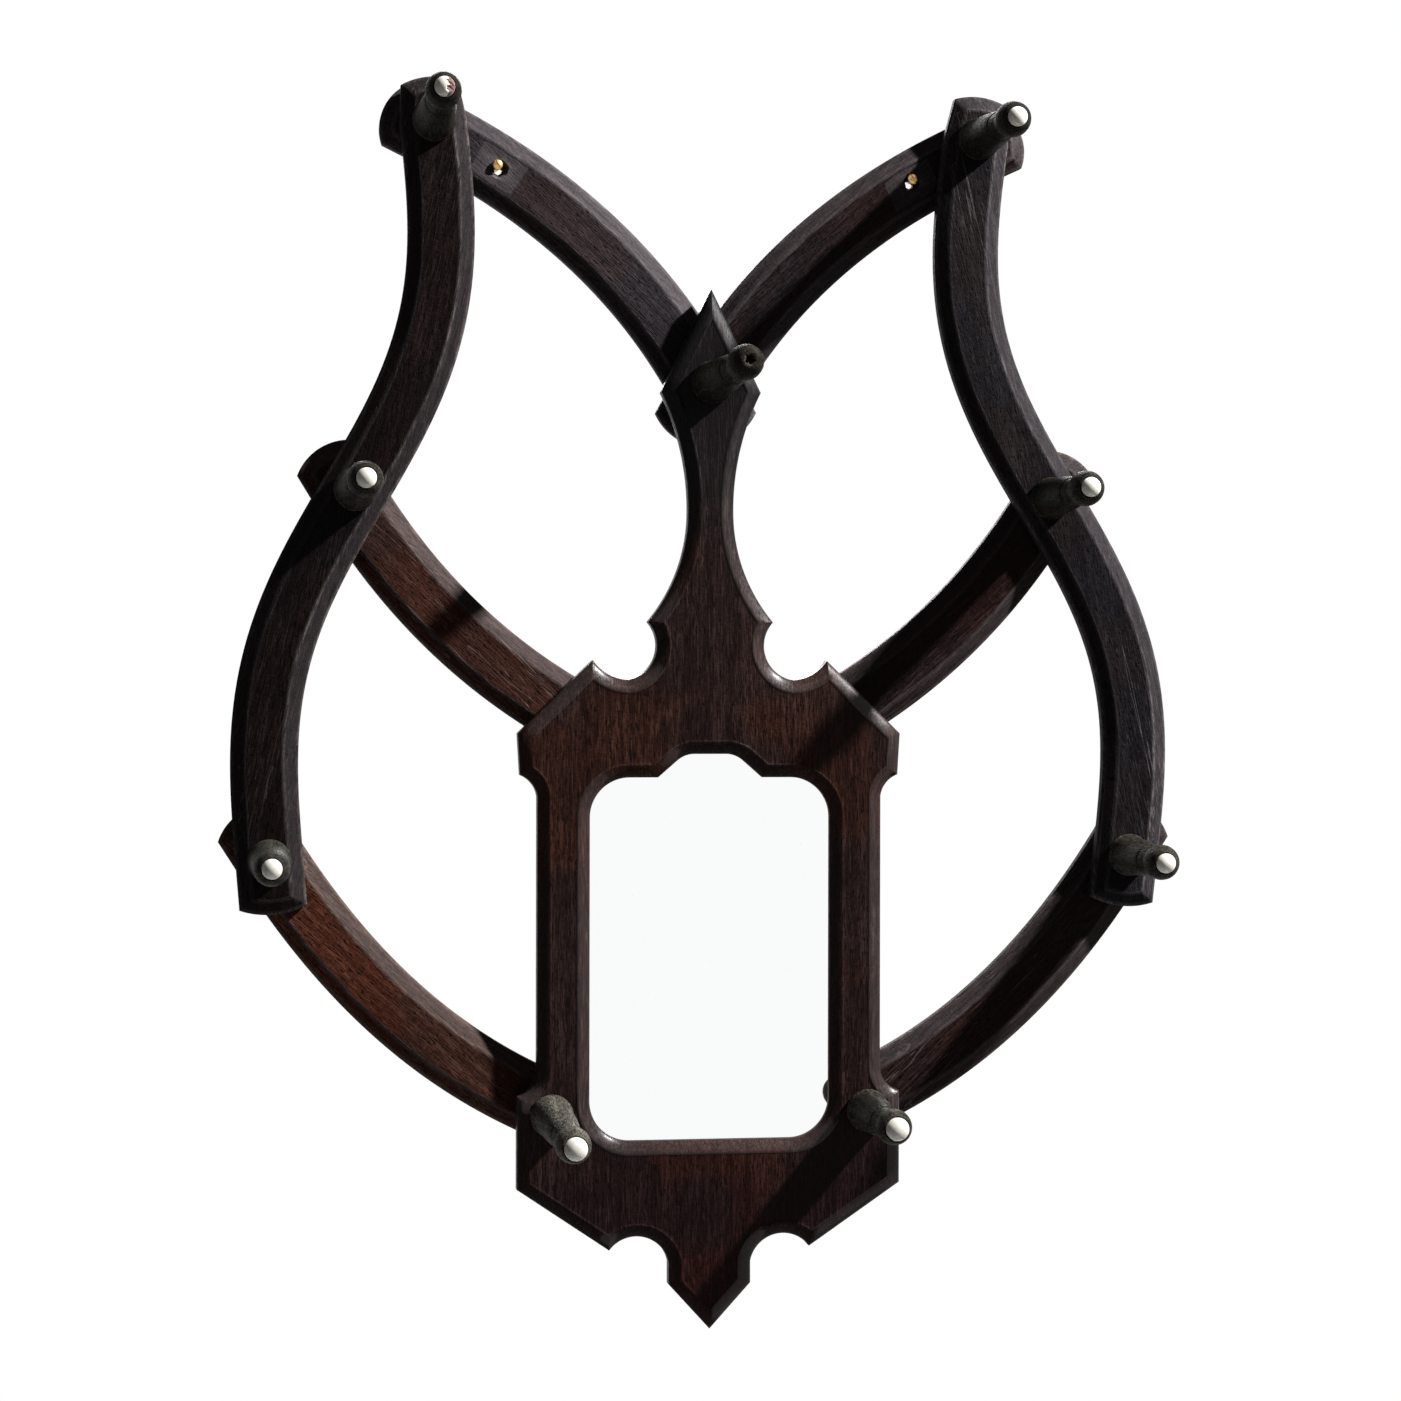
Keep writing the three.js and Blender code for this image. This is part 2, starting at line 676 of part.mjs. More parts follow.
function addWing(parent, side, { sign, outerLayer, linkLayer }) {
  const pivots = innerPivots(sign);
  const reach = reachOf(sign);
  const rearMost = linkLayer === 0;
  const upperOfSide = { ...upperCurve, outer: upperCurve.outer + upperLinkDrop[side] };
  const links = {
    upper: { curve: upperOfSide, inner: rearMost ? tenonCuts : tenonHole },
    middle: { curve: middleCurve, inner: hiddenCuts },
    lower: { curve: lowerCurve, inner: tenonCuts },
  };
  for (const [level, { curve, inner }] of Object.entries(links)) {
    const outerEnd = roundEnd(curve.end);
    const outline = armOutline(reach, bowed(curve), sign, innerEnd, outerEnd, linkHalf, linkSteps);
    const cutters = [...inner([0, 0]), ...tenonCuts(reach)];
    if (level === "upper") {
      const hole = [sign * wallHole[0], wallHole[1]];
      cutters.push(roundCutter(hole, wallHoleRadius, capOverrun, -armThickness - capOverrun));
    }
    const [x, z] = pivots[level];
    const link = cut(armBody(outline), cutters);
    place(parent, `${side}_${level}_link`, link, "oak", [x, layerBack(linkLayer), z]);
  }
  const along = [pivots.lower[0], pivots.lower[1]];
  const lean = pivotHalfSpread / 2 - middleHalfSpread;
  const swing = waved(lean, wave[side]);
  const outline = armOutline(along, swing, sign, armTop, armFoot, outerArmWidth / 2, outerArmSteps);
  const cutters = [[0, 0], pivots.middle, pivots.lower].flatMap(tenonHole);
  const arm = cut(armBody(outline), cutters);
  place(parent, `${side}_outer_arm`, arm, "oak", [reach[0], layerBack(outerLayer), reach[1]]);
  for (const level of ["upper", "middle", "lower"]) {
    const at = shifted(pivots[level], reach);
    addPeg(parent, `${side}_${level}`, at, layerFront(outerLayer), layerBack(linkLayer));
  }
  const front = layerFront(linkLayer);
  const stations = screwStations(wallScrewHeadRadius, wallScrewHeadHeight, wallScrewRadius, -front);
  const facing = stations.map(([radius, forward]) => [radius, -forward]).reverse();
  const at = [sign * (wallHole[0] + wallScrewOffset[0]), front - rest, wallHole[1] + wallScrewOffset[1]];
  place(parent, `${side}_wall_screw`, turnedBody(facing, fixingSides), "brass", at);
}

addPeg(rack, "top", [0, 0], boardFront, layerBack(0), 0);
for (const [side, layers] of Object.entries(sides)) {
  addPivotFixings(rack, side, layers);
  addSprigs(rack, side, layers);
  addWing(rack, side, layers);
}

export default rack;
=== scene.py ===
"""Looks of a folding hat and coat rack with a mirror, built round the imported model.

Metres, X to the right, Y into the wall, Z up. Sizes below are in millimetres and go through MM.
"""

import bpy
import numpy as np
from mathutils import Matrix, Vector
from mathutils.geometry import delaunay_2d_cdt


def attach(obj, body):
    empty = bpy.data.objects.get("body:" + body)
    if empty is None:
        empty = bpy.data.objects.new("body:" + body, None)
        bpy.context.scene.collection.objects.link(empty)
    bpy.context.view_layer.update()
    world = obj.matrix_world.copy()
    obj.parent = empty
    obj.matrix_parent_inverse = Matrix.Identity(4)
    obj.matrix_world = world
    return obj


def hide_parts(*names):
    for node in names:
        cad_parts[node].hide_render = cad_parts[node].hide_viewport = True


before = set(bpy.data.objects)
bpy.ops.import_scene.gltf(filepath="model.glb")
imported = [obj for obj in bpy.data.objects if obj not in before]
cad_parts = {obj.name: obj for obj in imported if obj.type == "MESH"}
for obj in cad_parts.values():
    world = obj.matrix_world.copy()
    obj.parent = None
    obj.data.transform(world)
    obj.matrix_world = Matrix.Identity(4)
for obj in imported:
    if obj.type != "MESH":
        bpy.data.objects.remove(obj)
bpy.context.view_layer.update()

MM = 0.001

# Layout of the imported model.
REST = 0.3
PIVOT_DROP = 361
PIVOT_HALF_SPREAD = 79
MIDDLE_HALF_SPREAD = 37.8
REACH = np.array([137.4, 125.8])
ARM_THICKNESS = 9.5
LAYER_STEP = ARM_THICKNESS + REST
LINK_HALF = 17
OUTER_HALF = 16.4
CHAMFER_WIDTH = 7
CHAMFER_DEPTH = 3.5
BOARD_THICKNESS = 11
BOARD_BACK = -2 * LAYER_STEP
BOARD_FRONT = BOARD_BACK - BOARD_THICKNESS
SIDES = {
    "left": {"sign": -1, "outer_layer": 2, "link_layer": 1, "wave": 19, "upper_drop": 0},
    "right": {"sign": 1, "outer_layer": 1, "link_layer": 0, "wave": 20.7, "upper_drop": 1.8},
}
LINK_CURVES = {
    "upper": {"bow": -15, "shift": -0.07, "inner": 2, "outer": 2.9, "radii": (28.5, 24)},
    "middle": {"bow": 15, "shift": -0.02, "inner": -1.5, "outer": 3.1, "radii": (28.5, 27.5)},
    "lower": {"bow": 14.5, "shift": -0.11, "inner": -2.5, "outer": -0.8, "radii": (28.5, 26.5)},
}
WALL_HOLE = REACH - np.array([32.6, 21.4])
# A worn wall hole: radius, distance in front of the back and wear.
WALL_HOLE_RINGS = (
    (1.9, 0.0, 0), (1.8, 2, 0), (2.3, 6, 0), (3.9, 8.6, 0.3), (4.35, 9.2, 0.9), (4.8, 9.5, 0.8),
)
WALL_HOLE_RAGGED = 0.3

# Outlines: the length of a straight step, how much nearer than asked an inset point may come, how
# far its neighbours join a meeting point, the step that marks gathered points, the stretch over
# which a change fades out beside them, and the turn that makes a corner.
STRAIGHT_STEP = 9
INSET_SLACK = 0.04
MEETING_REACH = 0.15
GATHERED_STEP = 0.05
FADE_LENGTH = 5
SHARP_TURN = np.cos(np.radians(15))
# Points that agree to a thousandth of a millimetre are one.
PER_MM = 1e3
CIRCLE_SIDES = 40
# Steps between an arm's side and its end, and half the share over which its heading is taken.
END_CUTS = 6
HEADING_REACH = 0.005

# Rings of an arm: inset, place and wear, for the back and from the start of the chamfer; then,
# for the inner arris, distance beyond the chamfer's width, gap to a bore, share of the wander,
# height over the flat, and the shares of painted sheen and of rubbed wear with painted highlight.
# Share of painted sheen, a lighter chamfer tone, on edges that face up or right towards the lamp.
PAINTED_SHEEN = 0.15
ARM_BACK = ((0.7, 0.0, 0.5), (0.2, -0.2, 1.0), (0, -0.7, 0.5), (0, -1.6, 0.0))
ARM_SIDE = ((0, 1.2, 0.0), (0, 0.4, 0.7), (0.35, -0.1, 1.0), (1.0, -0.47, 0.6))
ARM_ARRIS = (
    (-1.7, 1.5, 0.6, 0.85, 1, 0), (-0.55, 1.2, 1, 0.3, 0, 0.6), (0, 1.0, 1, 0.07, 0, 1),
    (0.6, 0.75, 1, 0, 0, 0.3), (1.3, 0.5, 1, 0, 0, 0),
)

# Fixings.
PEG_LENGTH = 70
PEG_RIM = 10.6
TENON_RADIUS = 6
TIP_RADIUS = 4.8
FOOT_TIP_RADIUS = 5.6
TIP_RISE = 2.7
COUNTERBORE_RADIUS = 9.5
COUNTERBORE_DEPTH = 4
COUNTERBORE_BEVEL = 0.3
WASHER_RADIUS = 8.8
WASHER_THICKNESS = 1.1
SCREW_RADIUS = 1.8
SCREW_LENGTH = 18
PIVOT_SCREW_RADIUS = 2
HIDDEN_SCREW_HOLD = 7
SPACER_RADIUS = 11
PEG_LEAN = {
    "top": (7, 4.2), "left_foot": (4, -6.4), "left_upper": (0.2, 3.2), "left_middle": (2, 1),
    "left_lower": (0, 0), "right_foot": (0, 0), "right_upper": (2.2, -0.9),
    "right_middle": (1.3, 1.4), "right_lower": (-1.9, -0.6),
}
# Profile of a peg: radius and distance in front of the arm.
PEG_FLARE = [
    [10.6, 2], [9.7, 7], [9.3, 16], [8.9, 26], [8.1, 36], [6.6, 44], [5.8, 49], [7, 54], [8.5, 60],
    [8.3, 64.5], [7.2, 68],
]
# Front of a peg with a torn hole for its lost tip: radius, distance and wear.
TORN_FRONT = [
    (6.0, 69.3, 0.5), (5.1, 70, 0.4), (4.0, 70.4, 0.5), (3.0, 70.5, 0.7), (2.6, 70.3, 1),
    (2.2, 69.9, 1), (1.8, 69.2, 0.6), (1.6, 67.5, 0), (1.3, 65, 0), (1.1, 64, 0), (0, 63.5, 0),
]
# Front of the other pegs: radius beyond the tip's, distance and wear.
SEAT_FRONT = [(0.9, 69.3, 0.6), (0.4, 69.8, 0.5), (0, 69.8, 0.2), (0, 67.4, 0)]


def pivots(sign):
    """The pivots of a wing's links on the board, in the plane of the rack."""
    return {
        "upper": np.array([0.0, 0.0]),
        "middle": np.array([sign * MIDDLE_HALF_SPREAD, -PIVOT_DROP / 2]),
        "lower": np.array([sign * PIVOT_HALF_SPREAD, -PIVOT_DROP]),
    }


def layer_back(layer):
    return -layer * LAYER_STEP


def reach_of(sign):
    return np.array([sign * REACH[0], REACH[1]])


# Plane curves, as arrays of [x, z].

def size_of(vectors):
    return np.hypot(vectors[..., 0], vectors[..., 1])


def unit(vectors):
    return vectors / size_of(vectors)[..., None]


def arc(start, end, rise, count):
    """Points from start towards end, itself left out, on an arc that stands out by the rise."""
    start, chord = np.array(start, float), np.array(end[:2], float) - np.array(start, float)
    half = size_of(chord) / 2
    right = np.array([chord[1], -chord[0]]) / (2 * half)
    radius = (half * half + rise * rise) / (2 * rise)
    reach = np.arcsin(half / abs(radius))
    angle = reach * (2 * np.arange(count) / count - 1)
    middle = start + chord / 2 + right * (rise - radius)
    along = chord / (2 * half)
    sideways = np.outer(abs(radius) * np.sin(angle), along)
    return middle + sideways + np.outer(radius * np.cos(angle), right)


def steps_along(length):
    return max(1, int(round(length / STRAIGHT_STEP)))


def loop_from(stations, fine):
    """Loop through stations [x, z] or [x, z, rise, steps]; straight stretches are cut into short
    steps, so that their edges can wander."""
    parts = []
    for place, station in enumerate(stations):
        x, z, rise, count = (*station, 0, 1)[:4]
        following = np.array(stations[(place + 1) % len(stations)][:2], float)
        if rise:
            parts.append(arc([x, z], following, rise, count * fine))
        else:
            here = np.array([x, z], float)
            count = steps_along(size_of(following - here))
            share = np.arange(count)[:, None] / count
            parts.append(here + share * (following - here))
    return np.concatenate(parts)


def level_run(start, z):
    """Points between [start, z] and [-start, z], both left out."""
    count = steps_along(2 * abs(start))
    return np.reshape([[start - 2 * start * k / count, z] for k in range(1, count)], (-1, 2))


def mirrored_loop(half, fine):
    """Both halves of a symmetric loop, from the stations of its right half, bottom to top."""
    bottom, top = half[0], half[-1]
    right = loop_from([*half, [-top[0], top[1]]], fine)
    last = np.where(np.all(np.isclose(right, top[:2]), axis=1))[0][0]
    right = right[:last + 1]
    left = right[right[:, 0] > 1e-6][::-1] * [-1, 1]
    return np.concatenate([right, level_run(*top), left, level_run(-bottom[0], bottom[1])])


def distance_to_loop(points, loop):
    """Least distance from each point to the closed loop's straight pieces."""
    step = np.roll(loop, -1, 0) - loop
    offset = points[:, None] - loop[None]
    share = np.clip((offset * step).sum(2) / (step ** 2).sum(1), 0, 1)
    return size_of(offset - share[..., None] * step).min(1)


def normals(loop):
    """Inward direction at each point, longer at a corner so that both its sides move alike."""
    before, after = np.roll(loop, 1, 0), np.roll(loop, -1, 0)
    first = unit(np.stack([before[:, 1] - loop[:, 1], loop[:, 0] - before[:, 0]], 1))
    second = unit(np.stack([loop[:, 1] - after[:, 1], after[:, 0] - loop[:, 0]], 1))
    return (first + second) / (1 + (first * second).sum(1))[:, None]


def crossing(a, b, c, d):
    """Where the line through a and b meets the line through c and d."""
    turn = (b[0] - a[0]) * (d[1] - c[1]) - (b[1] - a[1]) * (d[0] - c[0])
    along = ((c[0] - a[0]) * (d[1] - c[1]) - (c[1] - a[1]) * (d[0] - c[0])) / turn
    return a + along * (b - a)


def inset(loop, width):
    """The loop moved inward by a width, point by point; points that would come nearer to the loop
    than the width, and a corner next to them, gather where the moved pieces on both sides cross."""
    if width == 0:
        return loop.copy()
    count = len(loop)
    moved = loop + width * normals(loop)
    kept = distance_to_loop(moved, loop) > abs(width) - INSET_SLACK
    step = unit(np.roll(loop, -1, 0) - loop)
    sharp = (step * np.roll(step, 1, 0)).sum(1) < SHARP_TURN
    kept &= ~(sharp & ~(np.roll(kept, 1) & np.roll(kept, -1)))
    start = int(np.argmax(kept))
    place = start
    nearby = []
    while place < start + count:
        last = place
        while not kept[(last + 1) % count]:
            last += 1
        if last > place:
            meeting = crossing(*(moved[k % count] for k in (place, place + 1, last + 1, last)))
            for gathered in range(place + 1, last + 1):
                moved[gathered % count] = meeting
            nearby += [(place % count, meeting), ((last + 1) % count, meeting)]
        place = last + 1
    for index, meeting in nearby:
        if size_of(moved[index] - meeting) < MEETING_REACH:
            moved[index] = meeting
    return moved


def shifted(loop, change):
    """The loop moved by a change for each point, which fades out beside gathered points."""
    after = size_of(np.roll(loop, -1, 0) - loop) < GATHERED_STEP
    gathered = loop[after | np.roll(after, 1)]
    if len(gathered) == 0:
        return loop + change
    far = size_of(loop[:, None] - gathered[None]).min(1)
    return loop + change * np.clip(far / FADE_LENGTH, 0, 1)[:, None]


def kept_off(loop, spots, gap):
    """The loop with every point at least a gap away from each spot."""
    for spot in spots:
        away = loop - spot
        far = size_of(away)[:, None]
        loop = np.where(far < gap, spot + away * gap / far, loop)
    return loop


def arm_outline(chord, offset, sign, head, foot, half, steps, end_steps):
    """Outline of a curved arm, whose centreline is the chord plus an offset across it. Its ends,
    head at the chord's start and foot, are arcs beyond the pivots: (reach, rise, half width)."""
    line = np.array(chord, float)
    left = -sign * np.array([-line[1], line[0]]) / size_of(line)
    u = np.arange(steps + 1) / steps

    def centre(share):
        share = np.atleast_1d(share)
        return np.outer(share, line) + np.outer(offset(share), left)

    heading = unit(centre(u + HEADING_REACH) - centre(u - HEADING_REACH))
    across = np.stack([-heading[:, 1], heading[:, 0]], 1)
    first = centre(u) - half * across
    second = (centre(u) + half * across)[::-1]
    shares = np.arange(1, END_CUTS)[:, None] / END_CUTS
    ends = []
    for index, (reach, rise, width), way in ((-1, foot, 1), (0, head, -1)):
        middle = centre(u[index])[0] + way * reach * heading[index]
        corners = [middle - way * width * across[index], middle + way * width * across[index]]
        side_end, side_start = (first[-1], second[0]) if index else (second[-1], first[0])
        ends.append(np.concatenate([
            side_end + shares * (corners[0] - side_end),
            arc(corners[0], corners[1], rise, end_steps), [corners[1]],
            corners[1] + shares * (side_start - corners[1])]))
    return np.concatenate([first, ends[0], second, ends[1]])


# Closed bodies.

def wander(count, seed, waves, size):
    """Slow smooth random change along a closed loop: a sum of sines with random phases."""
    rng = np.random.default_rng(seed)
    t = np.arange(count) / count * 2 * np.pi
    total = np.zeros(count)
    for wave in waves:
        total += np.sin(wave * t + rng.uniform(0, 2 * np.pi)) * rng.uniform(0.5, 1) / len(waves)
    return size * total


def round_faces(rows, sides, closed=False):
    """Quads between the rows of a round grid; a closed one joins its last row to its first."""
    k, s = np.meshgrid(np.arange(rows if closed else rows - 1), np.arange(sides), indexing="ij")
    n, after = (s + 1) % sides, (k + 1) % rows
    quads = [k * sides + s, k * sides + n, after * sides + n, after * sides + s]
    return np.stack(quads, 2).reshape(-1, 4)


def linked(name, data):
    """A new object in the scene."""
    thing = bpy.data.objects.new(name, data)
    bpy.context.scene.collection.objects.link(thing)
    return thing


def add_mesh(name, points, faces, wear, sharp_angle=32.0, flat_from=None):
    """A piece from points in mm, polygons and a wear share per point, which on arms and the board
    also carries painted sheen and painted highlight; doubles are merged, and polygons from number
    flat_from on are shaded flat."""
    points = np.asarray(points, float)
    keys = np.round(points * PER_MM).astype(np.int64)
    _, index, inverse = np.unique(keys, axis=0, return_index=True, return_inverse=True)
    inverse = inverse.ravel()
    merged_wear_and_light = np.zeros(len(index))
    np.maximum.at(merged_wear_and_light, inverse, wear)
    kept, smooth = [], []
    for number, face in enumerate(faces):
        corners = [int(inverse[corner]) for corner in face]
        corners = [c for k, c in enumerate(corners) if c != corners[k - 1]]
        if 3 <= len(corners) == len(set(corners)):
            kept.append(corners)
            smooth.append(flat_from is None or number < flat_from)
    mesh = bpy.data.meshes.new(name)
    mesh.from_pydata(points[index] * MM, [], kept)
    attribute = mesh.attributes.new("wear", "FLOAT", "POINT")
    attribute.data.foreach_set("value", merged_wear_and_light.astype(np.float32))
    mesh.polygons.foreach_set("use_smooth", np.array(smooth))
    mesh.set_sharp_from_angle(angle=np.radians(sharp_angle))
    mesh.update()
    return linked(name, mesh)


def circle(centre, radius, ragged=0.0):
    angle = 2 * np.pi * np.arange(CIRCLE_SIDES) / CIRCLE_SIDES
    radius = radius + ragged * (0.6 * np.sin(3 * angle + 1) + 0.4 * np.sin(7 * angle))
    return np.asarray(centre) + radius[:, None] * np.stack([np.cos(angle), np.sin(angle)], 1)


def flat_cap(rings):
    """Anticlockwise triangles, as indices into the joined rings, of the flat area inside the first
    ring and outside the others: a net that keeps every ring's edges, less the triangles reached
    from outside across an even number of those edges."""
    points = np.concatenate(rings)
    _, first, place = np.unique(
        np.round(points * PER_MM), axis=0, return_index=True, return_inverse=True)
    place = place.ravel()
    edges, start = [], 0
    for loop in rings:
        ring = place[start:start + len(loop)]
        edges += [(int(a), int(b)) for a, b in zip(ring, np.roll(ring, -1)) if a != b]
        start += len(loop)
    spots, joints, faces, origins, owners = delaunay_2d_cdt(
        [Vector(point) for point in points[first]], edges, [], 0, 0)[:5]
    spots = np.array([tuple(spot) for spot in spots])
    borders = {tuple(sorted(pair)) for pair, owner in zip(joints, owners) if len(owner) % 2}
    beside = {}
    for number, face in enumerate(faces):
        for pair in zip(face, face[1:] + face[:1]):
            beside.setdefault(tuple(sorted(pair)), []).append(number)
    within = {}
    waiting = [(near[0], pair in borders) for pair, near in beside.items() if len(near) == 1]
    while waiting:
        number, state = waiting.pop()
        if number in within:
            continue
        within[number] = state
        face = faces[number]
        for pair in zip(face, face[1:] + face[:1]):
            pair = tuple(sorted(pair))
            state_beyond = state ^ (pair in borders)
            waiting += [(near, state_beyond) for near in beside[pair] if near not in within]
    origin = [first[start[0]] if start else np.argmin(size_of(points - spot))
              for spot, start in zip(spots, origins)]
    return [[int(origin[corner]) for corner in faces[number]]
            for number, state in within.items() if state]


def plate(name, outside, holes, at=(0, 0), back=0.0):
    """A body between rings of (loop, y, wear), back to front, round the outside and each hole;
    loops run anticlockwise as seen from the front. Flat caps close the first and last rings."""
    points, faces, wear = [], [], []

    def add_ring(loop, y, share):
        start = sum(len(p) for p in points)
        columns = [loop[:, 0] + at[0], np.full(len(loop), y + back), loop[:, 1] + at[1]]
        points.append(np.column_stack(columns))
        wear.append(np.broadcast_to(share, len(loop)))
        return start

    for rings, inward in [(outside, False)] + [(hole, True) for hole in holes]:
        start = [add_ring(*ring) for ring in rings][0]
        quads = round_faces(len(rings), len(rings[0][0])) + start
        faces += (quads[:, ::-1] if inward else quads).tolist()
    sides_end = len(faces)
    for end, front in ((0, False), (-1, True)):
        rings = [outside[end][0]] + [hole[end][0] for hole in holes]
        start = add_ring(np.concatenate(rings), outside[end][1], 0.0)
        for a, b, c in flat_cap(rings):
            faces.append([start + k for k in ((a, b, c) if front else (a, c, b))])
    return add_mesh(name, np.concatenate(points), faces, np.concatenate(wear), flat_from=sides_end)


def inset_rings(loop, rows, start):
    """Rings from rows of inset, place beyond the start and wear."""
    return [(inset(loop, width), start + y, wear) for width, y, wear in rows]


def painted_light_share(inward):
    """Share of painted light on an edge: full where it faces up or right, towards the lamp, none
    where it faces down or left.
    """
    return np.clip(0.6 - 1.5 * inward @ [0.7, 0.7], 0, 1)


def arm_rings(outline, seed, pins):
    """Rings of an arm: rounded back edge, side, rounded arris, chamfer, rounded arris, flat. The
    inner arris wanders, as a chamfer cut by hand does, and keeps off the pins' bores."""
    side_end = CHAMFER_DEPTH - ARM_THICKNESS
    slack = wander(len(outline), seed, (3, 7, 12, 19, 31), 0.5)
    small = wander(len(outline), seed + 7, (23, 37, 53), 0.18)
    inward = unit(normals(inset(outline, 0.01)))
    shift = (slack + small)[:, None] * inward
    # Painted light: edges facing the lamp get a painted sheen tone and painted highlight lines.
    lit = painted_light_share(inward)
    planed = PAINTED_SHEEN * lit
    rub_and_highlight = 0.3 + 0.7 * lit
    chamfer_start = (2.0, -0.97, planed)
    rings = inset_rings(outline, ARM_BACK, 0)
    rings += inset_rings(outline, (*ARM_SIDE, chamfer_start), side_end)
    for further, gap, share, over, planed_share, rub_and_highlight_share in ARM_ARRIS:
        moved = shifted(inset(outline, CHAMFER_WIDTH + further), share * shift)
        loop = kept_off(moved, pins, TENON_RADIUS + REST + gap)
        # This wear share also carries the painted sheen and the painted highlight.
        wear = planed_share * planed + rub_and_highlight_share * rub_and_highlight
        rings.append((loop, over - ARM_THICKNESS, wear))
    return rings


def bore(centre, radius, counter=False):
    """Rings of a through hole, with the counterbore for a washer in the back."""
    rings, start = [], 0.0
    if counter:
        wide, start = circle(centre, COUNTERBORE_RADIUS), -COUNTERBORE_DEPTH
        rings = [(circle(centre, COUNTERBORE_RADIUS + COUNTERBORE_BEVEL), 0.0, 0.3),
                 (wide, -COUNTERBORE_BEVEL, 0.2), (wide, start, 0.0)]
    narrow = circle(centre, radius)
    return rings + [(narrow, start, 0.0), (narrow, -ARM_THICKNESS, 0.0)]


def turned(name, stations, at, slope=(0, 0), sides=64, wobble=None, closed=False, sharp=40.0):
    """A turned body round a line along Y, which leans by the slope; wobble changes its radius with
    the angle. Stations are (radius, distance in front of the face, wear); they start and end on
    the axis, rear end first, or run round a closed section."""
    radius, forward, wear = np.array(stations, float).T
    angle = 2 * np.pi * np.arange(sides) / sides
    grid = np.repeat(radius[:, None], sides, 1)
    if wobble is not None:
        grid = grid + wobble(radius[:, None], forward[:, None], angle[None])
    out = np.maximum(0, forward - REST)[:, None]
    x = at[0] + grid * np.cos(angle) + slope[0] * out
    z = at[2] + grid * np.sin(angle) + slope[1] * out
    y = np.repeat((at[1] - forward)[:, None], sides, 1)
    points = np.stack([x, y, z], 2).reshape(-1, 3)
    faces = round_faces(len(stations), sides, closed)
    return add_mesh(name, points, faces, np.repeat(wear, sides), sharp)


def ring(name, outer, inner, rear, front, at, bevel):
    """A ring round Y between two distances in front of its place, with small worn bevels."""
    corners = ((inner, rear, 1, 1), (outer, rear, -1, 1), (outer, front, -1, -1),
               (inner, front, 1, -1))
    section = []
    for number, (radius, forward, inward, onward) in enumerate(corners):
        bevelled = [(radius, forward + onward * bevel, 0.3), (radius + inward * bevel, forward, 1)]
        section += bevelled[::-1] if number % 2 else bevelled
    return turned(name, section, at, sides=56, closed=True, sharp=32.0)


# Columns of a screw's head, as shares of its radius: the slot's walls are the close pairs.
SLOT_SHARE = 0.16
HEAD_COLUMNS = np.array([
    -1, -0.9, -0.75, -0.55, -0.35, -0.16001, -0.16, -0.08, 0.08, 0.16, 0.16001, 0.35, 0.55, 0.75,
    0.9, 1,
])
SHANK_SIDES = 20


def slotted_screw(name, head, rise, shank, length, at, toward, turn):
    """A slotted round-head screw: a dome of columns x and rows z, sunk between the slot's two
    walls, on a tapered shank. toward is +1 where the head faces the wall, -1 where the room."""
    slot, depth = head * SLOT_SHARE, rise * 0.62
    columns = HEAD_COLUMNS * head
    rows = np.sin(np.linspace(-np.pi / 2, np.pi / 2, 21))
    half = np.sqrt(np.maximum(head ** 2 - columns ** 2, 1e-9))
    x = np.repeat(columns[:, None], len(rows), 1)
    z = half[:, None] * rows[None]
    share = np.clip((x ** 2 + z ** 2) / head ** 2, 0, 1)
    height = rise * (0.25 + 0.75 * np.sqrt(1 - share))
    sunk = np.maximum(height - depth, 0.05 * rise)
    height = np.where(np.abs(x) <= slot * 1.00001, sunk, height)
    cos, sin = np.cos(turn), np.sin(turn)
    sheets = [np.stack([x * cos - z * sin, y, x * sin + z * cos], 2) for y in (height, 0 * height)]
    count = x.size
    grid = np.arange(count).reshape(x.shape)
    quads = np.stack([grid[:-1, :-1], grid[1:, :-1], grid[1:, 1:], grid[:-1, 1:]], 2).reshape(-1, 4)
    rim = np.concatenate([grid[:-1, 0], grid[-1, :-1], grid[:0:-1, -1], grid[0, :0:-1]])
    after = np.roll(rim, -1)
    wall = np.stack([rim, after, after + count, rim + count], 1)
    faces = np.concatenate([quads[:, ::-1], quads + count, wall])
    points = np.concatenate([sheet.reshape(-1, 3) for sheet in sheets])
    angle = 2 * np.pi * np.arange(SHANK_SIDES) / SHANK_SIDES
    stations = np.array([
        (shank * 0.2, 0.0), (shank, 0.0), (shank, length * 0.6), (shank * 0.75, length * 0.85),
        (0.05, length),
    ])
    radius, forward = stations[:, :1], stations[:, 1:]
    body = np.stack([radius * np.cos(angle), np.repeat(-forward, SHANK_SIDES, 1),
                     radius * np.sin(angle)], 2).reshape(-1, 3)
    start = len(points)
    tube = round_faces(len(stations), SHANK_SIDES) + start
    last = start + len(body)
    ends = [list(range(start, start + SHANK_SIDES)), list(range(last - SHANK_SIDES, last))[::-1]]
    points = np.concatenate([points, body])
    everything = faces.tolist() + tube[:, ::-1].tolist() + ends
    if toward < 0:
        points, everything = points * [1, -1, 1], [face[::-1] for face in everything]
    return add_mesh(name, points + np.array(at), everything, np.zeros(len(points)))


# Materials.

